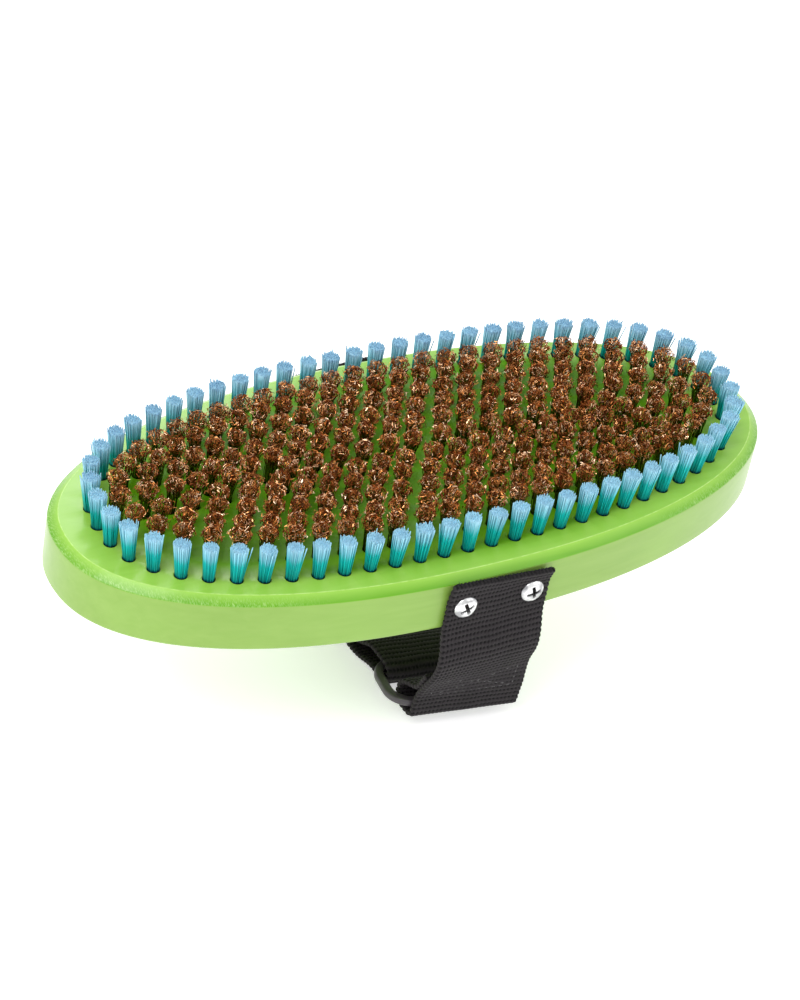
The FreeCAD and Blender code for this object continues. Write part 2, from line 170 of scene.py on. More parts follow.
# ---------------------------------------------------------------- materials
class Nodes:
    """Short calls for building a node material."""

    def __init__(self, name):
        self.material = bpy.data.materials.new(name)
        self.material.use_nodes = True
        self.tree = self.material.node_tree
        self.shader = self.tree.nodes["Principled BSDF"]
        self.coordinates = self.tree.nodes.new("ShaderNodeTexCoord")

    def feed(self, value, socket):
        if isinstance(value, bpy.types.NodeSocket):
            self.tree.links.new(value, socket)
        else:
            socket.default_value = value

    def set(self, **values):
        for name, value in values.items():
            self.feed(value, self.shader.inputs[name.replace("_", " ")])

    def node(self, kind, **inputs):
        node = self.tree.nodes.new("ShaderNode" + kind)
        for name, value in inputs.items():
            self.feed(value, node.inputs[name])
        return node

    def attribute(self, name):
        node = self.node("Attribute")
        node.attribute_name = name
        return node.outputs["Fac"]

    def scaled(self, scale):
        return self.node("Mapping", Scale=scale, Vector=self.coordinates.outputs["Object"]).outputs[0]

    def noise(self, scale, detail=3.0, vector=None, distortion=0.0):
        return self.node("TexNoise", Scale=scale, Detail=detail, Distortion=distortion, Roughness=0.55,
                         Vector=vector or self.coordinates.outputs["Object"]).outputs["Fac"]

    def uv(self):
        """Each strand's own shade and the level along it, which its UV holds."""
        node = self.node("SeparateXYZ")
        self.feed(self.coordinates.outputs["UV"], node.inputs[0])
        return node.outputs["X"], node.outputs["Y"]

    def ramp(self, value, stops):
        """stops: (place, (r, g, b)) pairs in linear colour."""
        node = self.node("ValToRGB")
        ramp = node.color_ramp
        while len(ramp.elements) < len(stops):
            ramp.elements.new(0.5)
        for element, (place, colour) in zip(ramp.elements, stops):
            element.position = place
            element.color = (*colour, 1.0)
        self.feed(value, node.inputs["Fac"])
        return node.outputs["Color"]

    def maths(self, operation, a, b=0.0, clamp=False):
        node = self.node("Math")
        node.operation = operation
        node.use_clamp = clamp
        self.feed(a, node.inputs[0])
        self.feed(b, node.inputs[1])
        return node.outputs[0]

    def remap(self, value, low, high, to_low, to_high):
        node = self.node("MapRange")
        for socket, number in zip(node.inputs[1:5], (low, high, to_low, to_high)):
            socket.default_value = number
        self.feed(value, node.inputs[0])
        return node.outputs[0]

    def mix(self, share, a, b, kind="MIX"):
        node = self.node("Mix")
        node.data_type = "RGBA"
        node.blend_type = kind
        self.feed(share, node.inputs[0])
        for value, socket in ((a, node.inputs[6]), (b, node.inputs[7])):
            self.feed((*value, 1.0) if isinstance(value, tuple) else value, socket)
        return node.outputs[2]

    def bump(self, height, distance, strength=1.0, normal=None):
        node = self.node("Bump", Distance=distance, Strength=strength, Height=height)
        if normal is not None:
            self.feed(normal, node.inputs["Normal"])
        return node.outputs[0]


def linear(red, green, blue):
    """A linear colour from 0-255 display values."""
    values = []
    for channel in (red, green, blue):
        share = channel / 255
        values.append(share / 12.92 if share <= 0.04045 else ((share + 0.055) / 1.055) ** 2.4)
    return tuple(values)


def lacquered_wood():
    n = Nodes("green_lacquered_wood")
    grain = n.noise(1.0, 6.0, n.scaled((24, 380, 380)), 0.5)
    clouds = n.noise(34.0, 2.0)
    face = n.ramp(grain, [(0.30, linear(132, 182, 58)), (0.70, linear(140, 188, 68))])
    # The wall is the same lacquer toned greyer than the face: a painted whitish reflection of the bright
    # room.
    wall = n.ramp(grain, [(0.30, linear(126, 162, 66)), (0.70, linear(133, 168, 74))])
    # The chamfer is the same lacquer made darker and deeper green: painted shade.
    chamfer = n.ramp(grain, [(0.30, linear(84, 148, 0)), (0.70, linear(96, 156, 4))])
    # Painted shade: the face among the copper tufts is a darker green.
    painted_shade_between_wires = n.ramp(grain, [(0.30, linear(84, 146, 0)), (0.70, linear(98, 158, 4))])
    field = n.attribute("field")
    colour = n.mix(n.attribute("wall"), n.mix(field, face, painted_shade_between_wires), wall)
    colour = n.mix(n.attribute("chamfer"), colour, chamfer)
    colour = n.mix(n.remap(clouds, 0.40, 0.70, 0.0, 0.12), colour, linear(160, 206, 96))
    scratches = n.noise(1.0, 5.0, n.scaled((4800, 1100, 1100)), 0.3)
    specks = n.noise(520.0, 2.0)
    end_grain = n.attribute("end_grain")
    fleck_share = n.maths("MULTIPLY", end_grain, n.remap(scratches, 0.46, 0.68, 0.0, 0.40), clamp=True)
    colour = n.mix(fleck_share, colour, linear(206, 232, 160))
    # Painted highlight: a lighter green along the top edge, broken up by specks.
    edge_highlight = n.maths("MULTIPLY", n.attribute("edge"), n.remap(specks, 0.38, 0.60, 0.15, 0.40), clamp=True)
    colour = n.mix(edge_highlight, colour, linear(208, 236, 150))
    n.set(Base_Color=colour, Coat_Roughness=0.16, Coat_IOR=1.5)
    n.set(Coat_Weight=n.remap(field, 0.0, 1.0, 0.35, 0.05))
    n.set(Specular_IOR_Level=n.remap(field, 0.0, 1.0, 0.3, 0.1))
    n.set(Roughness=n.remap(clouds, 0.3, 0.7, 0.36, 0.46))
    soft = n.bump(grain, 0.02 * MM, 0.35)
    n.set(Normal=n.bump(n.maths("MULTIPLY", scratches, end_grain), 0.06 * MM, 0.6, soft))
    return n.material


def bristle_nylon():
    n = Nodes("blue_nylon")
    shade, level = n.uv()
    # The first stops darken the filaments' feet: painted shade where they go into their holes. Above them
    # the teal turning to light blue is the dye.
    colour = n.ramp(level, [
        (0.00, linear(0, 46, 70)),
        (0.02, linear(0, 104, 120)),
        (0.06, linear(0, 160, 162)),
        (0.25, linear(0, 190, 186)),
        (0.42, linear(10, 200, 200)),
        (0.60, linear(120, 212, 230)),
        (0.90, linear(170, 224, 244)),
        (1.00, linear(136, 182, 214)),
    ])
    shade = n.remap(shade, 0.0, 1.0, 0.76, 1.0)
    colour = n.mix(1.0, colour, n.ramp(shade, [(0.0, (0, 0, 0)), (1.0, (1, 1, 1))]), "MULTIPLY")
    n.set(Base_Color=colour, Roughness=0.34, Specular_IOR_Level=0.35)
    return n.material


def copper_wire():
    n = Nodes("copper_wire")
    shade, level = n.uv()
    # The brightest stops paint pale glints onto some of the wires: painted highlight.
    tip = n.ramp(shade, [
        (0.0, linear(84, 38, 8)),
        (0.50, linear(138, 72, 22)),
        (0.80, linear(212, 144, 80)),
        (1.0, linear(255, 224, 190)),
    ])
    # Towards the roots the wires are darker and olive: painted shade low among the tufts, tinted by the
    # green block.
    root = n.ramp(shade, [(0.0, linear(58, 60, 2)), (1.0, linear(130, 140, 30))])
    colour = n.mix(n.remap(level, 0.35, 0.80, 0.0, 1.0), root, tip)
    n.set(Base_Color=colour, Metallic=0.85, Roughness=0.24)
    return n.material


def staple_wire():
    n = Nodes("staple_wire")
    spots = n.noise(900.0, 3.0)
    n.set(Base_Color=n.ramp(spots, [(0.3, (0.35, 0.35, 0.34)), (0.7, (0.6, 0.6, 0.6))]))
    n.set(Metallic=1.0, Roughness=n.remap(spots, 0.3, 0.7, 0.3, 0.5))
    return n.material


def black_webbing():
    n = Nodes("black_webbing")
    fibre = n.noise(1.0, 3.0, n.scaled((5200, 1400, 1400)))
    patches = n.noise(160.0, 3.0)
    crown = n.attribute("crown")
    # Crown runs from the valleys up to the ribs' tops: the dark valleys and dots between the yarns are
    # painted shade.
    colour = n.ramp(crown, [(0.0, linear(1, 1, 1)), (0.4, linear(14, 13, 14)), (1.0, linear(46, 42, 44))])
    colour = n.mix(n.remap(fibre, 0.40, 0.72, 0.0, 0.30), colour, linear(66, 62, 64))
    colour = n.mix(n.remap(patches, 0.4, 0.7, 0.0, 0.25), colour, linear(24, 23, 24))
    n.set(Base_Color=colour, Roughness=0.6, Specular_IOR_Level=0.12)
    n.set(Normal=n.bump(fibre, 0.10 * MM, 0.7))
    return n.material


def black_thread():
    n = Nodes("black_thread")
    twist = n.noise(1.0, 2.0, n.scaled((2600, 2600, 2600)))
    n.set(Base_Color=n.ramp(twist, [(0.3, linear(34, 32, 34)), (0.7, linear(72, 69, 71))]))
    n.set(Roughness=0.5, Sheen_Weight=0.1, Normal=n.bump(twist, 0.05 * MM))
    return n.material


def moulded_plastic():
    n = Nodes("dark_grey_plastic")
    cloud = n.noise(220.0, 3.0)
    grit = n.noise(2600.0, 2.0)
    n.set(Base_Color=n.ramp(cloud, [(0.3, linear(62, 56, 62)), (0.7, linear(74, 68, 74))]))
    n.set(Roughness=n.remap(cloud, 0.3, 0.7, 0.30, 0.42), Normal=n.bump(grit, 0.01 * MM, 0.4))
    return n.material


def bright_steel():
    n = Nodes("bright_steel")
    cloud = n.noise(420.0, 4.0)
    # Blotches of darker and lighter steel on the domes: painted reflection.
    bright = n.ramp(n.noise(260.0, 2.0), [(0.42, (0.36, 0.36, 0.37)), (0.56, (0.82, 0.82, 0.82))])
    # The cross recess is near black: painted shade in the recess.
    n.set(Base_Color=n.mix(n.attribute("recess"), bright, (0.035, 0.035, 0.035)))
    n.set(Metallic=1.0, Roughness=n.remap(cloud, 0.3, 0.7, 0.16, 0.30))
    n.set(Normal=n.bump(n.noise(1800.0, 2.0), 0.01 * MM, 0.3))
    return n.material


def fastener_tape(name):
    n = Nodes(name)
    pile = n.noise(1500.0, 3.0)
    n.set(Base_Color=n.ramp(pile, [(0.3, linear(14, 14, 14)), (0.7, linear(44, 43, 44))]))
    n.set(Roughness=0.7, Sheen_Weight=0.2, Normal=n.bump(pile, 0.15 * MM, 0.8))
    return n.material


MATERIALS = {
    "green_lacquered_wood": lacquered_wood(),
    "blue_nylon": bristle_nylon(),
    "copper_wire": copper_wire(),
    "staple_wire": staple_wire(),
    "black_webbing": black_webbing(),
    "black_thread": black_thread(),
    "dark_grey_plastic": moulded_plastic(),
    "bright_steel": bright_steel(),
    "hook_tape": fastener_tape("hook_tape"),
    "loop_tape": fastener_tape("loop_tape"),
}


def dress(piece, slot, *nodes, body=None):
    """Gives a new piece its material, hides the nodes that it stands for, and sets the body that it rides.
    """
    piece.data.materials.clear()
    piece.data.materials.append(MATERIALS[slot])
    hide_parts(*nodes)
    if body is not None:
        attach(piece, body)
    return piece


# ---------------------------------------------------------------- tufts
def solids_of(node):
    """The points of each separate solid in a CAD node, one array each."""
    mesh = frame["nodes"][node].data
    points = np.zeros(len(mesh.vertices) * 3, np.float32)
    mesh.vertices.foreach_get("co", points)
    ends = np.zeros(len(mesh.edges) * 2, np.int32)
    mesh.edges.foreach_get("vertices", ends)
    points = points.reshape(-1, 3).astype(float)
    _, welded = np.unique(np.round(points * 1e6).astype(np.int64), axis=0, return_inverse=True)
    welded = welded.ravel()
    a, b = welded[ends.reshape(-1, 2)].T
    labels = np.arange(welded.max() + 1)
    while True:
        lowest = np.minimum(labels[a], labels[b])
        before = labels.copy()
        np.minimum.at(labels, a, lowest)
        np.minimum.at(labels, b, lowest)
        if (labels == before).all():
            break
    owner = labels[welded]
    return [points[owner == k] for k in np.unique(owner)]


def tuft_places(node):
    """Foot centre, foot radius, tip centre and tip radius of each tuft in a CAD node."""
    found = []
    for points in solids_of(node):
        low = points[points[:, 2] < points[:, 2].min() + 0.01 * MM]
        top = points[points[:, 2] > points[:, 2].max() - 0.01 * MM]
        foot, tip = low.mean(0), top.mean(0)
        foot_r = np.hypot(*(low - foot)[:, :2].T).max()
        tip_r = np.hypot(*(points - tip)[:, :2].T).max()
        found.append((foot, foot_r, tip, tip_r))
    return sorted(found, key=lambda t: (round(t[0][0], 6), round(t[0][1], 6)))


def sunflower(count, rng):
    """Evenly packed points in the unit disc, a little disturbed: (count, 2)."""
    k = np.arange(count) + 0.5
    radius = np.sqrt(k / count)
    angle = k * math.pi * (3 - math.sqrt(5)) + rng.uniform(0, 2 * math.pi)
    places = np.stack([radius * np.cos(angle), radius * np.sin(angle)], -1)
    places += rng.normal(0, 0.35 / math.sqrt(count), (count, 2))
    return places / np.maximum(1.0, np.hypot(*places.T))[:, None]


NYLON_COUNT = 88
NYLON_R = 0.185 * MM
SINK = 1.5 * MM          # how far the modelled filaments reach down into their holes


def nylon_tufts():
    """Straight filaments that fan out of each hole, with a few strays and ragged cut ends."""
    rng = np.random.default_rng(11)
    parts = []
    share = np.array([0.0, 0.14, 0.52, 0.975, 1.0])
    for foot, foot_r, tip, tip_r in tuft_places("nylon_tufts_outer_ring"):
        places = sunflower(NYLON_COUNT, rng)
        height = tip[2] - FACE_Z
        root = level_points(foot[:2] + places * (foot_r - NYLON_R), FACE_Z)
        splay = rng.normal(0, 0.08 * MM, (NYLON_COUNT, 2))
        stray = rng.random(NYLON_COUNT) < 0.03
        splay[stray] += places[stray] * rng.uniform(0.4, 1.2, (stray.sum(), 1)) * MM
        squeeze = np.array([rng.uniform(0.92, 1.06), rng.uniform(0.92, 1.06)])
        tilt = rng.normal(0, 0.15 * MM, 2)
        ends = tip[:2] + tilt + places * (tip_r - NYLON_R) * squeeze + splay
        radial = (places ** 2).sum(1)
        top = tip[2] - 0.10 * MM - 0.25 * MM * radial - np.abs(rng.normal(0, 0.20 * MM, NYLON_COUNT))
        ends = np.concatenate([ends, top[:, None]], 1)
        bend = share ** 1.15
        paths = root[:, None] + (ends - root)[:, None] * np.stack([bend, bend, share], -1)
        below = root - [0, 0, SINK]
        paths = np.concatenate([below[:, None], paths], 1)
        radii = np.full(paths.shape[:2], NYLON_R)
        radii[:, -1] *= 0.55
        # where the dark dye ends differs at random from tuft to tuft and from filament to filament, and a
        # rise towards the back and the right end lightens those tufts as painted light
        shift = (0.03 * foot[0] / HALF_LENGTH + 0.12 * foot[1] / HALF_WIDTH + rng.normal(0, 0.04)
                 + rng.normal(0, 0.04, NYLON_COUNT))
        level = (paths[:, :, 2] - FACE_Z) / height
        fade = np.clip(level * 2.2, 0, 1) * np.clip((1 - level) * 6, 0, 1)
        uv = np.stack([np.repeat(rng.random(NYLON_COUNT)[:, None], level.shape[1], 1),
                       np.clip(level + shift[:, None] * fade, 0.0, 0.995)], -1)
        parts.append(strands(paths, radii, 3, rng.uniform(0, 3, NYLON_COUNT), uv))
        core_share = np.array([-0.1, 0.0, 0.25, 0.5, 0.75, 0.93])
        base = np.append(foot[:2], FACE_Z)
        centre = base + (tip - base) * core_share[:, None]
        core_r = 0.72 * (foot_r + (tip_r - foot_r) * np.clip(core_share, 0, 1))
        core_uv = np.stack([np.full(6, 0.15), np.clip(core_share, 0, 1)], -1)
        parts.append(strands(centre[None], core_r[None], 14, np.zeros(1), core_uv[None]))
    return dress(new_piece("nylon_tufts", *joined(parts)), "blue_nylon",
                 "nylon_tufts_outer_ring", body="brush_block")


COPPER_COUNT = 36
CURL_COUNT = 62
COPPER_R = 0.12 * MM
CURL_R = 0.085 * MM
CRIMP_SIZE = 0.20 * MM
POMPOM_R = 2.55 * MM      # the loose wires' tops spread into a ball of this size
WIRE_LEVELS = np.array([0.0, 0.22, 0.44, 0.58, 0.70, 0.80, 0.90, 1.0])


def tall_wires(foot, foot_r, hub, ball, rng):
    """Crimped wires that rise close together and spread at the top: paths (n, m, 3)."""
    places = sunflower(COPPER_COUNT, rng)
    radial = np.hypot(*places.T)
    outward = places / np.maximum(radial, 1e-6)[:, None]
    lean = np.radians(88) * radial ** 0.9
    reach = ball * rng.normal(0.97, 0.08, COPPER_COUNT)
    ends = hub + np.stack([outward[:, 0] * np.sin(lean), outward[:, 1] * np.sin(lean),
                           0.85 * np.cos(lean)], -1) * reach[:, None]
    stray = rng.random(COPPER_COUNT) < 0.10
    ends[stray, :2] += outward[stray] * rng.uniform(0.3, 1.0, (stray.sum(), 1)) * MM
    root = level_points(foot[:2] + places * (foot_r - COPPER_R), FACE_Z)
    knee = level_points(hub[:2] + places * (foot_r + 0.35 * MM), hub[2] - 0.6 * MM)
    share = WIRE_LEVELS[None, :, None]
    paths = (root[:, None] * (1 - share) ** 2 + 2 * knee[:, None] * share * (1 - share)
             + ends[:, None] * share ** 2)
    heading = rng.uniform(0, 2 * math.pi, COPPER_COUNT)
    side = np.stack([np.cos(heading), np.sin(heading), rng.normal(0, 0.35, COPPER_COUNT)], -1)
    steps = len(WIRE_LEVELS)
    zigzag = np.where(np.arange(steps) % 2 == 0, 1.0, -1.0) * (0.5 + 0.9 * WIRE_LEVELS)
    size = CRIMP_SIZE * rng.uniform(0.6, 1.5, (COPPER_COUNT, steps))
    paths += side[:, None] * (zigzag * size)[:, :, None]
    paths += rng.normal(0, 0.08 * MM, paths.shape) * (0.4 + WIRE_LEVELS)[None, :, None]
    paths[:, 0] = root - [0, 0, SINK]
    return paths


def wire_curls(hub, ball, rng):
    """The bent last millimetres of the wires, tangled over the ball: paths (n, 5, 3), planes (n, 2, 3)."""
    turn = rng.uniform(0, 2 * math.pi, CURL_COUNT)
    up = rng.uniform(-0.25, 1.0, CURL_COUNT)
    flat = np.sqrt(1 - up ** 2)
    out = np.stack([flat * np.cos(turn), flat * np.sin(turn), up], -1)
    along = np.cross(out, rng.normal(0, 1, (CURL_COUNT, 3)))
    along /= np.linalg.norm(along, axis=1)[:, None]
    other = np.cross(out, along)
    length = rng.uniform(1.1, 2.0, CURL_COUNT)[:, None, None] * MM
    wave = rng.uniform(0.22, 0.45, CURL_COUNT)[:, None, None] * MM
    share = np.linspace(-0.5, 0.5, 5)[None, :, None]
    swing = np.array([0.6, -1.0, 1.0, -1.0, 0.6])[None, :, None]
    lift = rng.uniform(-0.1, 0.9, CURL_COUNT)[:, None, None]
    paths = (hub + out * [1.0, 1.0, 0.88] * ball * rng.uniform(0.78, 1.02, CURL_COUNT)[:, None])[:, None]
    paths = (paths + along[:, None] * share * length + other[:, None] * swing * wave
             + out[:, None] * (share + 0.5) * lift * length * 0.6)
    return paths, np.stack([out, other], 1)


def copper_tufts(node, seed):
    """Bundles of crimped wires, each with a loose, tangled ball at its top."""
    rng = np.random.default_rng(seed)
    parts = []
    for foot, foot_r, tip, _ in tuft_places(node):
        ball = POMPOM_R * rng.uniform(0.92, 1.06)
        hub = np.append(foot[:2] + rng.normal(0, 0.12 * MM, 2), tip[2] - 0.85 * ball)
        curls, planes = wire_curls(hub, ball, rng)
        for paths, levels, size, planes in (
                (tall_wires(foot, foot_r, hub, ball, rng), WIRE_LEVELS, COPPER_R, None),
                (curls, np.full(5, 0.95), CURL_R, planes)):
            count, steps = paths.shape[:2]
            uv = np.stack([np.repeat(rng.random(count)[:, None], steps, 1),
                           np.repeat(levels[None] * 0.99, count, 0)], -1)
            radii = np.full((count, steps), size)
            parts.append(strands(paths, radii, 3, rng.uniform(0, 3, count), uv, planes))
    name = node.replace("tufts", "wire_tufts")
    return dress(new_piece(name, *joined(parts), smooth=False), "copper_wire", node, body="brush_block")


# ---------------------------------------------------------------- block
OVAL_POWER = 2.2
CHAMFER_IN = 2.6 * MM
CHAMFER_DOWN = 1.9 * MM
OUTLINE_STEPS = 420
TOP_EDGE_R, SIDE_EDGE_R, BACK_EDGE_R = 0.55 * MM, 0.7 * MM, 1.1 * MM
HOLE_SIDES = 20
HOLE_PLAY = 0.05 * MM     # between a tuft's foot and its hole
LIP_WIDTH = 0.22 * MM     # the lacquer stands up a little round each hole


def oval(inset):
    """The block's outline, moved in by inset: (steps, 2)."""
    angle = 2 * math.pi * np.arange(OUTLINE_STEPS) / OUTLINE_STEPS
    c, s = np.cos(angle), np.sin(angle)
    norm = (np.abs(c) ** OVAL_POWER + np.abs(s) ** OVAL_POWER) ** (1 / OVAL_POWER)
    return np.stack([(HALF_LENGTH - inset) * c / norm, (HALF_WIDTH - inset) * s / norm], -1)


def arc(centre, radius, start, end, steps):
    """(inset, z) points on an arc; angles in degrees from outwards, towards up."""
    turns = np.radians(np.linspace(start, end, steps))
    return [(centre[0] - radius * math.cos(t), centre[1] + radius * math.sin(t)) for t in turns]


def wooden_block():
    """The block with rounded edges and a real hole for every tuft."""
    slope = math.degrees(math.atan2(CHAMFER_DOWN, CHAMFER_IN))
    top_r, side_r, back_r = TOP_EDGE_R, SIDE_EDGE_R, BACK_EDGE_R
    profile = []                                     # from the top face's rim round to the back
    reach = top_r * math.tan(math.radians(slope / 2))
    profile += arc((CHAMFER_IN + reach, FACE_Z - top_r), top_r, 90, 90 - slope, 5)
    turn = math.radians((90 - slope) / 2)
    reach = side_r * math.tan(turn)
    profile += arc((side_r, FACE_Z - CHAMFER_DOWN - reach), side_r, 90 - slope, 0, 6)
    profile += [(0.0, FACE_Z - 5 * MM), (0.0, FACE_Z - 9 * MM), (0.0, BACK_Z + 3 * MM)]
    profile += arc((back_r, BACK_Z + back_r), back_r, 0, -90, 7)
    rings = np.stack([level_points(oval(inset), z) for inset, z in profile])
    points = list(rings.reshape(-1, 3))
    quads = list(grid_quads(len(profile), OUTLINE_STEPS, wrap=True)[:, ::-1])
    # the chamfer and wall masks pick out the bands that the lacquer tones with painted shade and a painted
    # reflection
    chamfer = [FACE_Z - CHAMFER_DOWN < z < FACE_Z - 0.2 * MM for _, z in profile]
    wall_share = [z <= FACE_Z - CHAMFER_DOWN for _, z in profile]
    # edge marks the top edge for its painted highlight
    edge = [1 <= k <= 3 for k in range(len(profile))]

    holes = []                                       # (x, y, radius) of each tuft's hole
    for node in TUFT_NODES:
        for foot, foot_r, _, _ in tuft_places(node):
            holes.append((foot[0], foot[1], foot_r + HOLE_PLAY))
    flat = [Vector(p[:2]) for p in rings[0]]
    edges = [(i, (i + 1) % OUTLINE_STEPS) for i in range(OUTLINE_STEPS)]
    sides, lip = HOLE_SIDES, LIP_WIDTH
    circle = [(math.cos(2 * math.pi * i / sides), math.sin(2 * math.pi * i / sides)) for i in range(sides)]
    for x, y, radius in holes:
        start = len(flat)
        flat += [Vector((x + (radius + lip) * c, y + (radius + lip) * s)) for c, s in circle]
        edges += [(start + i, start + (i + 1) % sides) for i in range(sides)]
    spots, _, faces, _, _, _ = delaunay_2d_cdt(flat, edges, [], 0, 1e-7)
    place = np.array([s[:] for s in spots])
    centres = np.array([(x, y, r + lip) for x, y, r in holes])
    first = len(points)
    points += [(x, y, FACE_Z) for x, y in place]
    triangles = []
    for face in faces:
        middle = place[list(face)].mean(0)
        near = np.hypot(*(centres[:, :2] - middle).T)
        if not (near < centres[:, 2] * 0.97).any():
            triangles.append([first + i for i in face])

    depth = FACE_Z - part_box("nylon_tuft_staples")[0].z
    for x, y, radius in holes:
        start = len(points)
        wall = [(radius + lip, 0.0), (radius + lip * 0.45, 0.045 * MM), (radius + lip * 0.1, -0.02 * MM),
                (radius, -0.16 * MM), (radius, -depth)]
        for ring_r, drop in wall:
            points += [(x + ring_r * c, y + ring_r * s, FACE_Z + drop) for c, s in circle]
        quads += list(start + grid_quads(len(wall), sides, wrap=True)[:, ::-1])
        points.append((x, y, FACE_Z - depth))
        floor = start + (len(wall) - 1) * sides
        triangles += [(floor + (i + 1) % sides, floor + i, len(points) - 1) for i in range(sides)]

    back = len(points)
    points.append((0.0, 0.0, BACK_Z))
    rim = (len(profile) - 1) * OUTLINE_STEPS
    triangles += [(rim + i, back, rim + (i + 1) % OUTLINE_STEPS) for i in range(OUTLINE_STEPS)]

    piece = new_piece("block", np.array(points), np.array(quads), np.array(triangles))
    spots = np.array(points)
    slant = np.abs(spots[:, 0]) / HALF_LENGTH
    values = {}
    for name, of_profile in (("wall", wall_share), ("edge", edge), ("chamfer", chamfer)):
        values[name] = np.zeros(len(points))
        values[name][:rings.shape[0] * OUTLINE_STEPS] = np.repeat(of_profile, OUTLINE_STEPS)
    point_value(piece, "wall", values["wall"])
    point_value(piece, "edge", values["edge"])
    oval_share = ((np.abs(spots[:, 0]) / HALF_LENGTH) ** OVAL_POWER
                  + (np.abs(spots[:, 1]) / HALF_WIDTH) ** OVAL_POWER) ** (1 / OVAL_POWER)
    on_face = spots[:, 2] > FACE_Z - 1 * MM
    # field marks the face among the copper tufts, which the lacquer paints darker as painted shade
    point_value(piece, "field", np.clip((0.85 - oval_share) / 0.05, 0, 1) * on_face)
    point_value(piece, "chamfer", values["chamfer"])
    point_value(piece, "end_grain", values["chamfer"] * np.clip((slant - 0.45) / 0.2, 0, 1))
    weld(piece, 0.002 * MM)
    return dress(piece, "green_lacquered_wood", "wooden_block", body="brush_block")


def weld(piece, within):
    """Joins the points of a piece that lie together, and makes its faces look outwards."""
    work = bmesh.new()
    work.from_mesh(piece.data)
    bmesh.ops.remove_doubles(work, verts=work.verts, dist=within)
    bmesh.ops.recalc_face_normals(work, faces=work.faces)
    work.to_mesh(piece.data)
    work.free()


# ---------------------------------------------------------------- webbing
RIB_PITCH = 1.62 * MM
YARN_PITCH = 1.12 * MM
STEP_ALONG = 0.27 * MM
FRONT_BAR = RING_PIVOT
REAR_BAR_Y = -21.2 * MM
REAR_BAR_Z = 5.1 * MM
HEM_TOP = 21.5 * MM


def smooth_curve(points):
    """A natural cubic spline through (y, z) points by chord length, resampled at about STEP_ALONG."""
    points = np.asarray(points, float)
    knots = np.concatenate([[0], np.cumsum(np.hypot(*np.diff(points, axis=0).T))])
    count = len(points)
    gaps = np.diff(knots)
    matrix = np.eye(count)
    right = np.zeros((count, 2))
    for i in range(1, count - 1):
        matrix[i, i - 1:i + 2] = gaps[i - 1], 2 * (gaps[i - 1] + gaps[i]), gaps[i]
        right[i] = 6 * ((points[i + 1] - points[i]) / gaps[i]
                        - (points[i] - points[i - 1]) / gaps[i - 1])
    bends = np.linalg.solve(matrix, right)
    places = np.linspace(0, knots[-1], max(2, int(round(knots[-1] / STEP_ALONG)) + 1))
    spans = np.clip(np.searchsorted(knots, places, side="right") - 1, 0, count - 2)
    h = gaps[spans][:, None]
    before = (places - knots[spans])[:, None]
    after = h - before
    return ((bends[spans] * after ** 3 + bends[spans + 1] * before ** 3) / (6 * h)
            + (points[spans] / h - bends[spans] * h / 6) * after
            + (points[spans + 1] / h - bends[spans + 1] * h / 6) * before)


def chain(*runs):
    """Runs of (y, z) points end to end, without doubled points, resampled evenly."""
    points = [np.asarray(runs[0], float)]
    for run in runs[1:]:
        run = np.asarray(run, float)
        points.append(run[1:] if np.hypot(*(run[0] - points[-1][-1])) < 0.01 * MM else run)
    points = np.concatenate(points)
    travel = np.concatenate([[0], np.cumsum(np.hypot(*np.diff(points, axis=0).T))])
    places = np.linspace(0, travel[-1], int(round(travel[-1] / STEP_ALONG)) + 1)
    return np.stack([np.interp(places, travel, points[:, 0]), np.interp(places, travel, points[:, 1])], -1)


def beside(y, *offsets):
    """(y, z) points from offsets in y and heights, both in millimetres."""
    return [(y + away * MM, z * MM) for away, z in offsets]


def ease(value, start, end):
    share = np.clip((value - start) / (end - start), 0, 1)
    return share * share * (3 - 2 * share)


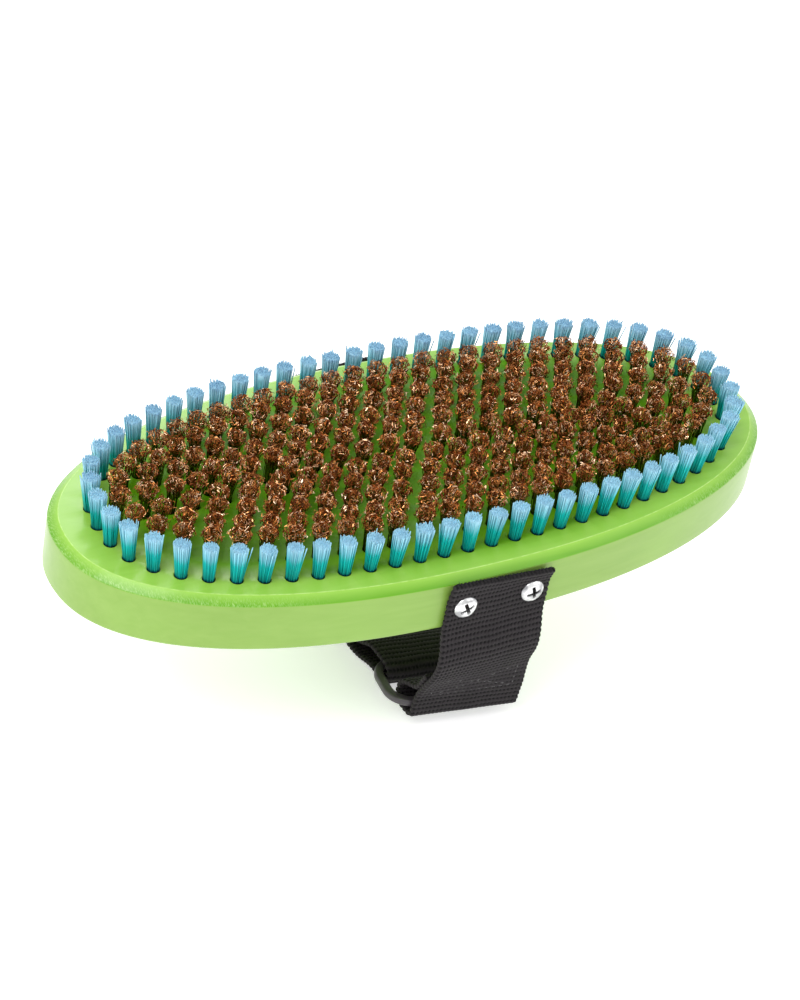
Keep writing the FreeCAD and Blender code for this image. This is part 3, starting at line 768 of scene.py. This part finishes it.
def webbing(name, path, twist, shift, seed, slant=0.0, stitched=None, pressed=None, calm=None,
            columns=66):
    """Ribbed webbing along a path of (y, z) points. twist (n,) turns it about Z and shift (n,) moves it
    along X, slant tilts its first end's cut, stitched(across, z) from 0 to 1 and pressed(across, z) in
    metres sink its outer face, and calm (n,) is from 0 to 1 where the ribs fade."""
    rng = np.random.default_rng(seed)
    rows = len(path)
    along = np.concatenate([[0], np.cumsum(np.hypot(*np.diff(path, axis=0).T))])
    run = np.gradient(path, axis=0)
    run /= np.hypot(*run.T)[:, None]
    normal = np.stack([np.zeros(rows), -run[:, 1], run[:, 0]], -1)     # on the outer side
    across = np.linspace(-1, 1, columns)
    across = np.sign(across) * (1 - (1 - np.abs(across)) ** 1.12)
    side = np.stack([np.cos(twist), np.sin(twist), np.zeros(rows)], -1)
    rib = along / RIB_PITCH
    wander = np.interp(across, np.linspace(-1, 1, 7), rng.normal(0, 0.09, 7))
    phase = rib[:, None] + wander[None]
    row = np.floor(phase)
    valley = np.exp(-((0.5 - np.abs(phase - row - 0.5)) / 0.21) ** 2)   # 1 between two ribs
    yarn = across[None] * (WEB_WIDTH / 2) / YARN_PITCH + 0.15 * (row % 2)
    dots = 0.5 + 0.5 * np.cos(2 * math.pi * yarn)
    calm = np.zeros(rows) if calm is None else calm
    depth = valley * (0.08 + 0.92 * dots ** 1.3) * (1 - 0.45 * calm)[:, None]
    uneven = rng.normal(0, 0.05, depth.shape)
    # the valleys and dots get a darker tone: painted shade in the weave
    crown = np.clip(0.95 - depth * 1.5 + uneven, 0, 1)
    rim = np.clip((1 - np.abs(across)) / 0.035, 0, 1)[None] ** 0.5     # thins to a rounded edge
    half = WEB_THICK / 2
    lift = half * (0.35 + 0.65 * rim) - 0.50 * MM * depth * rim
    width = (WEB_WIDTH / 2) * (1 - 0.022 * valley[:, :1])              # ribs end in small beads
    middle = np.concatenate([shift[:, None], path], 1)
    sheets = []
    for sign in (1.0, -1.0):
        height = lift.copy()
        tone = crown.copy()
        if stitched is not None and sign > 0:
            groove = stitched(across[None] * WEB_WIDTH / 2, path[:, 1][:, None])
            height -= 0.50 * MM * groove
            # the stitch grooves get a darker tone: painted shade
            tone = tone * (1 - 0.6 * groove)
        if pressed is not None and sign > 0:
            height -= pressed(across[None] * WEB_WIDTH / 2 + shift[:, None], path[:, 1][:, None])
        points = (middle[:, None] + side[:, None] * (across[None] * width)[:, :, None]
                  + normal[:, None] * (sign * height)[:, :, None])
        if slant:
            near_end = 1 - ease(along, 0.0, 6 * MM)
            points[:, :, 2] -= near_end[:, None] * slant * across[None]
        sheets.append((points, tone))
    outer, inner = sheets[0][0], sheets[1][0][:, ::-1]
    loop = np.concatenate([outer, inner], 1)                           # round the section
    tones = np.concatenate([sheets[0][1], sheets[1][1][:, ::-1]], 1)
    quads = grid_quads(rows, 2 * columns, wrap=True)
    caps = []
    for base, flip in ((0, False), ((rows - 1) * 2 * columns, True)):
        for i in range(columns - 1):
            face = [base + i, base + 2 * columns - 1 - i, base + 2 * columns - 2 - i, base + i + 1]
            caps.append(face[::-1] if flip else face)
    u = np.concatenate([np.linspace(0.01, 0.49, columns), np.linspace(0.51, 0.99, columns)])
    uv = np.stack(np.broadcast_arrays(u[None], (along / along[-1])[:, None]), -1)
    quads = np.concatenate([quads, np.array(caps)])
    piece = new_piece(name, loop.reshape(-1, 3), quads, None, uv.reshape(-1, 2))
    point_value(piece, "crown", tones.ravel())
    return piece, along[-1]


def frayed_end(name, body, centre, side, outwards, up, seed, count=70, reach=1.0):
    """Short loose fibres along a cut end of webbing, riding body."""
    rng = np.random.default_rng(seed)
    place = rng.uniform(-0.97, 0.97, count)
    root = (np.array(centre) + np.array(side) * (place * WEB_WIDTH / 2)[:, None]
            + np.array(up) * rng.uniform(-0.4, 0.4, count)[:, None] * WEB_THICK)
    root -= np.array(outwards) * 0.3 * MM
    lean = (np.array(outwards) * rng.uniform(0.5, 1.3, count)[:, None]
            + np.array(side) * rng.normal(0, 0.35, count)[:, None]
            + np.array(up) * rng.normal(0.1, 0.35, count)[:, None]) * MM * reach
    share = np.array([0.0, 0.5, 1.0])
    curl = np.array(up) * rng.normal(0, 0.15 * MM, count)[:, None]
    paths = (root[:, None] + lean[:, None] * share[None, :, None]
             + curl[:, None] * (share ** 2)[None, :, None])
    radii = np.repeat(np.array([[0.10, 0.09, 0.05]]) * MM, count, 0)
    uv = np.stack([np.repeat(rng.random(count)[:, None], 3, 1), np.repeat(share[None], count, 0)], -1)
    sides = 4
    piece = new_piece(name, *strands(paths, radii, sides, rng.uniform(0, 3, count), uv))
    point_value(piece, "crown", np.repeat(rng.uniform(0.5, 1.0, count), len(share) * sides))
    dress(piece, "black_webbing", body=body)


STRAP_TOP = 1.2 * MM
REAR_STRAP_TOP = 2.9 * MM
FRONT_SLANT, REAR_SLANT = 1.0 * MM, -0.9 * MM     # how far each top end's cut is out of square
SCREW_PRESS_EDGE = 1.3 * MM       # the webbing rises again over this far round a screw head
BOX_TOP, BOX_LOW, BOX_HALF = 20.5 * MM, 12.5 * MM, 11.5 * MM


def seam_lines():
    """Each run of stitches in the hem's box and cross, as (x0, z0, x1, z1)."""
    top, low, half = BOX_TOP, BOX_LOW, BOX_HALF
    return [(-half, top, half, top), (-half, low, half, low), (-half, top, -half, low),
            (half, top, half, low), (-half, top, half, low), (-half, low, half, top)]


def seam_groove(x, z):
    """How far the stitches pull the webbing in, from 0 to 1."""
    depth = 0.0
    for x0, z0, x1, z1 in seam_lines():
        length = math.hypot(x1 - x0, z1 - z0)
        share = np.clip(((x - x0) * (x1 - x0) + (z - z0) * (z1 - z0)) / length ** 2, 0, 1)
        away = np.hypot(x - x0 - share * (x1 - x0), z - z0 - share * (z1 - z0))
        depth = np.maximum(depth, np.exp(-(away / (0.45 * MM)) ** 2))
    return depth


def screw_places(node):
    """The (x, z) of each screw of a strap, and the radius of their heads."""
    low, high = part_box(node)
    radius = (high.z - low.z) / 2
    middle = (low.z + high.z) / 2
    return [(low.x + radius, middle), (high.x - radius, middle)], radius


def screw_press(node, on_wall):
    """How deep the screw heads press the webbing in, as a function of (x, z)."""
    places, radius = screw_places(node)

    def depth(x, z):
        total = 0.0
        for cx, cz in places:
            away = np.hypot(x - cx, z - cz) - radius - 0.1 * MM
            total = np.maximum(total, SQUEEZE * np.clip(1 - away / SCREW_PRESS_EDGE, 0, 1) ** 1.6)
        return total * on_wall[:, None]

    return depth


def front_path():
    """Down the wall, under the ring's front bar and up again behind, as (y, z) points."""
    bar, wall = FRONT_BAR.y, -STRAP_WALL
    layer = WEB_THICK + 0.1 * MM
    return chain(smooth_curve(
        [(wall - 1.5 * MM, FACE_Z - STRAP_TOP + 0.3 * MM)]
        + beside(wall, (-0.55, 51.6), (0, 48.6), (0, 45.5))
        + [(wall, BACK_Z - 0.4 * MM)]
        + beside(wall, (-1.0, 34.0), (-1.2, 28.5), (1.1, 22.0), (3.3, 16.0), (4.5, 11.0))
        + beside(bar, (-2.7, 7.0), (-2.55, 5.6), (-2.05, 4.5), (-1.1, 4.1), (1.7, 3.9), (3.7, 4.1),
                 (4.8, 5.1), (5.1, 6.4), (5.1, 7.6), (4.4, 9.9), (1.5, 12.4))
        + [(wall + 3.3 * MM + layer + 0.25 * MM, 15.0 * MM),
           (wall + 2.3 * MM + layer + 0.15 * MM, 18.5 * MM),
           (wall + 1.4 * MM + layer + 0.12 * MM, HEM_TOP)]))


def front_strap():
    path = front_path()
    twist = TWIST * ease(-path[:, 1], -24 * MM, -10 * MM)
    shift = FRONT_SHIFT + (FOLD_SHIFT - FRONT_SHIFT) * ease(-path[:, 1], -32 * MM, -10 * MM)
    rows = np.arange(len(path))
    falling = rows < np.argmin(path[:, 1])
    press = screw_press("front_strap_screws", np.where(falling, 1.0, 0.0))
    calm = (ease(path[:, 1], 11 * MM, 13 * MM) * (1 - ease(path[:, 1], 20.5 * MM, 23 * MM))
            * np.where(falling, 1.0, 0.4))

    def hem(x, z):
        return np.where(falling[:, None], seam_groove(x, z), 0.0)

    piece, length = webbing("front_strap_webbing", path, twist, shift, 31, slant=FRONT_SLANT,
                            stitched=hem, pressed=press, calm=calm, columns=104)
    dress(piece, "black_webbing", "front_strap_anchor_end", "front_strap_hanging_part")
    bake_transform(piece)
    y, z = path[-1]
    side = (math.cos(twist[-1]), math.sin(twist[-1]), 0)
    frayed_end("front_hem_fray", "front_strap", (shift[-1], y, z), side, (0, -0.2, 1), (0, 1, 0.2), 5)
    y, z = path[0]
    frayed_end("front_strap_top_fray", "brush_block", (shift[0], y, z),
               (1, 0, -FRONT_SLANT / (WEB_WIDTH / 2)), (0, -0.25, 1), (0, 1, 0.25), 15, 220, 0.5)
    return path, twist, shift


def hem_stitches(path, twist, shift):
    """Rows of separate stitches over the hem, each dipping into the webbing at its ends."""
    falling = path[:np.argmin(path[:, 1])]
    turns = twist[:len(falling)]
    moves = shift[:len(falling)]
    parts = []
    pitch, size = 2.1 * MM, 0.24 * MM
    for x0, z0, x1, z1 in seam_lines():
        length = math.hypot(x1 - x0, z1 - z0)
        count = max(1, int(round(length / pitch)))
        for k in range(count):
            ends = (k + 0.12) / count, (k + 0.88) / count
            share = np.linspace(*ends, 7)
            x, z = x0 + share * (x1 - x0), z0 + share * (z1 - z0)
            y, turn, move = (np.interp(-z, -falling[:, 1], of_path)
                             for of_path in (falling[:, 0], turns, moves))
            dip = 0.30 * MM * np.abs(np.linspace(-1, 1, 7)) ** 3
            level = y + x * np.sin(turn) - WEB_THICK / 2 + 0.20 * MM + dip
            parts.append(thread(np.stack([move + x * np.cos(turn), level, z], -1), size))
    piece = new_piece("hem_stitches", *joined(parts))
    return dress(piece, "black_thread", "hem_box_stitching", body="front_strap")


def thread(centre, radius, sides=6):
    """A closed round thread along any path."""
    run = np.gradient(centre, axis=0)
    run /= np.linalg.norm(run, axis=1)[:, None]
    lean = np.cross(run, [0.13, 0.9, 0.41])
    lean /= np.linalg.norm(lean, axis=1)[:, None]
    other = np.cross(run, lean)
    angles = np.arange(sides) * 2 * math.pi / sides
    taper = np.ones(len(centre))
    taper[0] = taper[-1] = 0.45
    points = centre[:, None] + radius * taper[:, None, None] * (
        lean[:, None] * np.cos(angles)[None, :, None] + other[:, None] * np.sin(angles)[None, :, None])
    fan = end_fan(sides)
    triangles = np.concatenate([fan[:, ::-1], fan + (len(centre) - 1) * sides])
    u = np.repeat(np.linspace(0, 1, len(centre)), sides)
    return (points.reshape(-1, 3), grid_quads(len(centre), sides, wrap=True), triangles,
            np.stack([u, np.tile(np.linspace(0, 1, sides), len(centre))], -1))


WRAP_R = 2.1 * MM + WEB_THICK / 2
WRAP_CENTRE = (REAR_BAR_Y - 2.5 * MM, REAR_BAR_Z - 0.1 * MM)
TAIL_SPLIT = JOINTS["tail_peel"]["pos_m"][1]
TAPE_START, TAPE_END, TAPE_WIDTH = -3.5 * MM, 19.0 * MM, 26 * MM
TAPE_THICK, TAPE_GAP, TAPE_CORNER = 0.95 * MM, 0.35 * MM, 1.2 * MM
TAPE_BACKING = 0.5 * MM
PILE_PITCH, PILE_MARGIN = 1.45 * MM, 1.2 * MM     # between hooks, and from them to the tape's edge
LOOP_LOW = WEB_THICK + 0.02 * MM
HOOK_LOW = LOOP_LOW + TAPE_THICK + TAPE_GAP
TAIL_MIDDLE = HOOK_LOW + TAPE_THICK + 0.02 * MM + WEB_THICK / 2


def wrap_arc():
    turns = np.radians(np.linspace(-90, -270, 40))
    return np.stack([WRAP_CENTRE[0] + WRAP_R * np.cos(turns),
                     WRAP_CENTRE[1] + WRAP_R * np.sin(turns)], -1)


def rear_twist(path):
    return TWIST * ease(-path[:, 0], 5 * MM, 18 * MM)


def rear_shift(path):
    return WRAP_SHIFT * ease(-path[:, 0], 5 * MM, 18 * MM)


def rear_strap():
    wall, floor = STRAP_WALL, WEB_THICK / 2
    wrap = wrap_arc()
    fall = smooth_curve(
        [(wall + 0.5 * MM, FACE_Z - REAR_STRAP_TOP)]
        + beside(wall, (0.15, 50.5), (0, 48.6), (0, 45.5))
        + [(wall, BACK_Z - 0.4 * MM)]
        + beside(wall, (0.4, 34.5), (-0.6, 26.0), (-4.8, 16.5), (-12.0, 7.5), (-19.0, 2.5))
        + [(wall - 25.5 * MM, floor + 0.12 * MM), (wall - 30 * MM, floor + 0.02 * MM), (8.0 * MM, floor),
           (-4.0 * MM, floor), (-9.0 * MM, floor + 0.02 * MM), (-13.0 * MM, floor + 0.35 * MM),
           (-18.0 * MM, wrap[0][1] - 0.1 * MM), tuple(wrap[0])])
    path = chain(fall, wrap, [tuple(wrap[-1]), (TAIL_SPLIT - 1.0 * MM, wrap[-1][1])])
    press = screw_press("rear_strap_screws", ease(path[:, 1], 38 * MM, 41 * MM))
    piece, length = webbing("rear_strap_webbing", path, rear_twist(path), rear_shift(path), 47,
                            slant=REAR_SLANT, pressed=press)
    dress(piece, "black_webbing", "rear_strap_anchor_end", "rear_strap_hand_loop")
    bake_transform(piece)
    y, z = path[0]
    frayed_end("rear_strap_top_fray", "brush_block", (0, y, z), (1, 0, -REAR_SLANT / (WEB_WIDTH / 2)),
               (0, 0.25, 1), (0, 1, -0.25), 19, 220, 0.5)


def strap_tail():
    wrap = wrap_arc()
    path = chain(smooth_curve([
        (TAIL_SPLIT - 1.0 * MM, wrap[-1][1]), (TAIL_SPLIT + 0.4 * MM, wrap[-1][1]),
        (-16.0 * MM, wrap[-1][1] - 0.35 * MM),
        (-10.5 * MM, TAIL_MIDDLE + 0.9 * MM), (TAPE_START - 1.5 * MM, TAIL_MIDDLE), (4 * MM, TAIL_MIDDLE),
        (12 * MM, TAIL_MIDDLE), (TAPE_END + 3 * MM, TAIL_MIDDLE),
    ]))
    piece, length = webbing("strap_tail_webbing", path, rear_twist(path), rear_shift(path), 53)
    dress(piece, "black_webbing", "rear_strap_tail_end")
    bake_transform(piece)
    y, z = path[-1]
    frayed_end("strap_tail_fray", "strap_tail", (0, y, z), (1, 0, 0), (0, 1, 0), (0, 0, 1), 7)


# ---------------------------------------------------------------- hook and loop tape
def rounded_outline(low, high, radius, steps):
    """A rectangle with round corners: its points (n, 2), and the way outwards at each."""
    points, outs = [], []
    for right, far, start in ((1, 1, 0), (0, 1, 90), (0, 0, 180), (1, 0, 270)):
        centre = np.array([high[0] - radius if right else low[0] + radius,
                           high[1] - radius if far else low[1] + radius])
        for k in range(steps):
            turn = math.radians(start + 90 * k / (steps - 1))
            outs.append(np.array([math.cos(turn), math.sin(turn)]))
            points.append(centre + radius * outs[-1])
    return np.array(points), np.array(outs)


def tape(name, low, grows_up, slot, node, body, seed):
    """A woven backing with a field of small hooks or loops on one face."""
    rng = np.random.default_rng(seed)
    backing = TAPE_BACKING
    base = low if grows_up else low + TAPE_THICK - backing
    outline, _ = rounded_outline((-TAPE_WIDTH / 2, TAPE_START), (TAPE_WIDTH / 2, TAPE_END), TAPE_CORNER, 6)
    rings = []
    centre = np.array([0.0, (TAPE_START + TAPE_END) / 2])
    for inset, z in ((0.5, 0.0), (0.08, 0.03), (0.0, 0.12), (0.0, 0.38), (0.08, 0.47), (0.5, 0.5)):
        shrink = 1 - inset * MM / (TAPE_WIDTH / 2)
        ring = centre + (outline - centre) * shrink
        rings.append(level_points(ring, base + z * MM))
    points = np.concatenate(rings + [[[*centre, base]], [[*centre, base + backing]]])
    count = len(outline)
    quads = grid_quads(len(rings), count, wrap=True)
    last = (len(rings) - 1) * count
    triangles = [((i + 1) % count, i, len(points) - 2) for i in range(count)]
    triangles += spokes_to(len(points) - 1, last, count)
    parts = [(points, quads, triangles, np.zeros((len(points), 2)))]
    pile = TAPE_THICK - backing
    foot = base + backing if grows_up else base
    sign = 1 if grows_up else -1
    for x in np.arange(-TAPE_WIDTH / 2 + PILE_MARGIN, TAPE_WIDTH / 2 - 1.0 * MM, PILE_PITCH):
        for y in np.arange(TAPE_START + PILE_MARGIN, TAPE_END - 1.0 * MM, PILE_PITCH):
            px, py = np.array([x, y]) + rng.normal(0, 0.15 * MM, 2)
            heading = rng.uniform(0, 2 * math.pi)
            bow = np.radians(np.array([-20, 40, 90, 140, 200]))
            out = np.cos(bow) * 0.32 * MM
            rise = np.clip(np.sin(bow), -0.3, 1) * pile * 0.9
            centre_line = np.stack([px + out * math.cos(heading), py + out * math.sin(heading),
                                    foot + sign * rise], -1)
            parts.append(thread(centre_line, 0.055 * MM, sides=4))
    piece = new_piece(name, *joined(parts))
    return dress(piece, slot, node, body=body)


def tape_stitches(name, level, node, body):
    """Stitches round the edge of a tape, lying on its face."""
    parts = []
    inset, pitch = 1.8 * MM, 2.2 * MM
    x, y0, y1 = TAPE_WIDTH / 2 - inset, TAPE_START + inset, TAPE_END - inset
    corners = [(-x, y0), (x, y0), (x, y1), (-x, y1), (-x, y0)]
    for (ax, ay), (bx, by) in zip(corners, corners[1:]):
        length = math.hypot(bx - ax, by - ay)
        count = int(round(length / pitch))
        for k in range(count):
            share = np.linspace((k + 0.1) / count, (k + 0.9) / count, 5)
            dip = 0.12 * MM * np.abs(np.linspace(-1, 1, 5)) ** 2
            parts.append(thread(np.stack([ax + share * (bx - ax), ay + share * (by - ay), level - dip], -1),
                                0.11 * MM, sides=5))
    return dress(new_piece(name, *joined(parts)), "black_thread", node, body=body)


# ---------------------------------------------------------------- ring
RING_LENGTH, RING_WIDTH, RING_CORNER = 38.6 * MM, 20 * MM, 7.5 * MM
RING_BAR, RING_THICK = 2.6 * MM, 2.2 * MM
RING_SIDES = 28


def adjuster_ring():
    """A rounded oblong ring of moulded plastic, softer than its flat section."""
    low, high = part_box("oval_ring")
    rear = Vector((0, REAR_BAR_Y, REAR_BAR_Z))
    centre = (RING_PIVOT + rear) / 2
    centre.x = (low.x + high.x) / 2
    tilt = math.atan2(rear.z - RING_PIVOT.z, rear.y - RING_PIVOT.y)
    bar, thick, rings = RING_BAR, RING_THICK, RING_SIDES
    half_x, half_y = RING_LENGTH / 2 - bar / 2, RING_WIDTH / 2 - bar / 2
    line, outs = rounded_outline((-half_x, -half_y), (half_x, half_y), RING_CORNER - bar / 2, 15)
    angles = 2 * math.pi * np.arange(rings) / rings
    soft = 2 / 3.2
    section = np.stack([np.sign(np.cos(angles)) * np.abs(np.cos(angles)) ** soft * bar / 2,
                        np.sign(np.sin(angles)) * np.abs(np.sin(angles)) ** soft * thick / 2], -1)
    points = np.concatenate([line[:, None] + outs[:, None] * section[None, :, :1],
                             np.broadcast_to(section[None, :, 1:], (len(line), rings, 1))], -1)
    count = len(line)
    around = grid_quads(count, rings, wrap=True)
    closing = np.array([[(count - 1) * rings + j, (count - 1) * rings + (j + 1) % rings, (j + 1) % rings, j]
                        for j in range(rings)])
    piece = new_piece("adjuster_ring_body", points.reshape(-1, 3), np.concatenate([around, closing]))
    piece.data.transform(Matrix.Translation(centre) @ Matrix.Rotation(TWIST, 4, "Z")
                         @ Matrix.Rotation(tilt, 4, "X"))
    weld(piece, 0.001 * MM)
    return dress(piece, "dark_grey_plastic", "oval_ring", body="adjuster_ring")


# ---------------------------------------------------------------- screws
HEAD_HEIGHT = 2.2 * MM
SHANK_R, SHANK_TIP_R, SHANK_TIP_LENGTH = 1.6 * MM, 0.25 * MM, 4 * MM
SLOT_HALF, SLOT_LONG, SLOT_DEPTH = 0.50 * MM, 2.1 * MM, 1.5 * MM


def screw_heads(name, node, side):
    """Domed heads with a tapered cross recess, over plain shanks."""
    low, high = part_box(node)
    places, radius = screw_places(node)
    head = HEAD_HEIGHT
    seat = STRAP_WALL + WEB_THICK / 2 + 0.02 * MM - SQUEEZE
    reach = (high.y - low.y) - head
    parts, recess = [], []
    spokes, radial = 96, 44
    for x, middle in places:
        share = np.linspace(0, 1, radial)
        r = radius * share
        turn = 2 * math.pi * np.arange(spokes) / spokes
        px, pz = r[:, None] * np.cos(turn), r[:, None] * np.sin(turn)
        dome = (head * (0.30 + 0.70 * np.sqrt(np.clip(1 - share ** 2.3, 0, 1)))[:, None]
                * np.ones(spokes))
        turned = math.radians(24 if x < 0 else 12)
        qx = np.abs(px * math.cos(turned) + pz * math.sin(turned))
        qz = np.abs(-px * math.sin(turned) + pz * math.cos(turned))
        depth = np.zeros_like(px)
        for a, b in ((qx, qz), (qz, qx)):
            inside = (np.clip((SLOT_HALF - b) / (0.14 * MM), 0, 1)
                      * np.clip((SLOT_LONG - a) / (0.5 * MM), 0, 1))
            depth = np.maximum(depth, inside)
        dome = dome - SLOT_DEPTH * depth * np.clip(1.15 - r[:, None] / (2.4 * MM), 0, 1)
        face = np.stack([x + px, side * (seat + dome), middle + pz], -1)
        skirt = [(radius, head * 0.24), (radius * 0.985, head * 0.1), (radius * 0.95, 0.0),
                 (SHANK_R, 0.0), (SHANK_R, -(reach - SHANK_TIP_LENGTH)),
                 (SHANK_TIP_R, -reach + 0.05 * MM)]
        rings = [np.stack([x + ring_r * np.cos(turn), np.full(spokes, side * (seat + out)),
                           middle + ring_r * np.sin(turn)], -1) for ring_r, out in skirt]
        points = np.concatenate([face.reshape(-1, 3)] + rings + [[[x, side * (seat - reach), middle]]])
        quads = grid_quads(radial + len(skirt), spokes, wrap=True)
        last = (radial + len(skirt) - 1) * spokes
        triangles = spokes_to(len(points) - 1, last, spokes)
        parts.append((points, quads, triangles, np.zeros((len(points), 2))))
        recess += list(depth.ravel()) + [0.0] * (len(points) - depth.size)
    piece = new_piece(name, *joined(parts)[:3])
    # recess marks the cross recess, which the steel paints dark as painted shade
    point_value(piece, "recess", recess)
    weld(piece, 0.001 * MM)
    return dress(piece, "bright_steel", node, body="brush_block")


# ---------------------------------------------------------------- the object
COPPER_NODES = ["copper_tufts_ring_%d" % k for k in range(1, 6)] + ["copper_tufts_centre_row"]
TUFT_NODES = ["nylon_tufts_outer_ring"] + COPPER_NODES

wooden_block()
nylon_tufts()
for k, copper_node in enumerate(COPPER_NODES):
    copper_tufts(copper_node, 100 + k)
hem_stitches(*front_strap())
tape("loop_tape", LOOP_LOW, True, "loop_tape", "loop_patch", "rear_strap", 61)
tape("hook_tape", HOOK_LOW, False, "hook_tape", "hook_patch", "strap_tail", 67)
tape_stitches("loop_tape_stitches", LOOP_LOW + 0.55 * MM, "loop_patch_stitching", "rear_strap")
tape_stitches("hook_tape_stitches", HOOK_LOW + 0.45 * MM, "hook_patch_stitching", "strap_tail")
adjuster_ring()
rear_strap()
strap_tail()
screw_heads("front_screws", "front_strap_screws", -1)
screw_heads("rear_screws", "rear_strap_screws", 1)
for staple_node in ("nylon_tuft_staples", "copper_tuft_staples"):
    staples = frame["nodes"][staple_node]
    staples.data.materials.clear()
    staples.data.materials.append(MATERIALS["staple_wire"])

# ---------------------------------------------------------------- floor, light and camera
floor_mesh = bpy.data.meshes.new("floor")
floor_mesh.from_pydata([(-4, -4, 0), (4, -4, 0), (4, 4, 0), (-4, 4, 0)], [], [(0, 1, 2, 3)])
floor = bpy.data.objects.new("floor", floor_mesh)
bpy.context.scene.collection.objects.link(floor)
paint = Nodes("pale_floor")
paint.set(Base_Color=(0.78, 0.78, 0.78, 1.0), Roughness=0.9)
paint.set(Emission_Color=(1.0, 1.0, 1.0, 1.0), Emission_Strength=0.5)
floor_mesh.materials.append(paint.material)

world = bpy.data.worlds.new("soft_room")
world.use_nodes = True
background = world.node_tree.nodes["Background"]
background.inputs["Color"].default_value = (1.0, 1.0, 1.0, 1.0)
background.inputs["Strength"].default_value = 1.0
bpy.context.scene.world = world


def soft_light(name, place, aim, size, power):
    """A square area light at place, facing aim."""
    data = bpy.data.lights.new(name, "AREA")
    data.size = size
    data.energy = power
    light = bpy.data.objects.new(name, data)
    light.location = place
    light.rotation_euler = (Vector(aim) - Vector(place)).to_track_quat("-Z", "Y").to_euler()
    bpy.context.scene.collection.objects.link(light)


soft_light("key", (-0.7, -0.2, 1.1), (0, 0, 0.05), 0.7, 8)
soft_light("fill", (0.9, -0.9, 0.7), (0, 0, 0.05), 0.9, 3)
soft_light("rim", (0.3, 1.1, 0.9), (0, 0, 0.05), 0.6, 5)

CAMERA_PLACE = Vector((-0.41020, -0.56315, 0.57913))
CAMERA_AZIMUTH, CAMERA_ELEVATION, CAMERA_ROLL = -35.84, 37.64, 10.95
azimuth, elevation, roll = (math.radians(v) for v in (CAMERA_AZIMUTH, CAMERA_ELEVATION, CAMERA_ROLL))
forward = Vector((-math.sin(azimuth) * math.cos(elevation), math.cos(azimuth) * math.cos(elevation),
                  -math.sin(elevation)))
level = forward.cross(Vector((0, 0, 1))).normalized()
upright = level.cross(forward)
right = level * math.cos(roll) + upright * math.sin(roll)
up = upright * math.cos(roll) - level * math.sin(roll)
camera_data = bpy.data.cameras.new("camera")
camera_data.lens = 121.1
camera_data.sensor_width = 36
camera_data.clip_start = 0.01
camera = bpy.data.objects.new("camera", camera_data)
facing = Matrix((right, up, -forward)).transposed().to_4x4()
camera.matrix_world = Matrix.Translation(CAMERA_PLACE) @ facing
bpy.context.scene.collection.objects.link(camera)
bpy.context.scene.camera = camera
bpy.context.scene.view_settings.view_transform = "Standard"
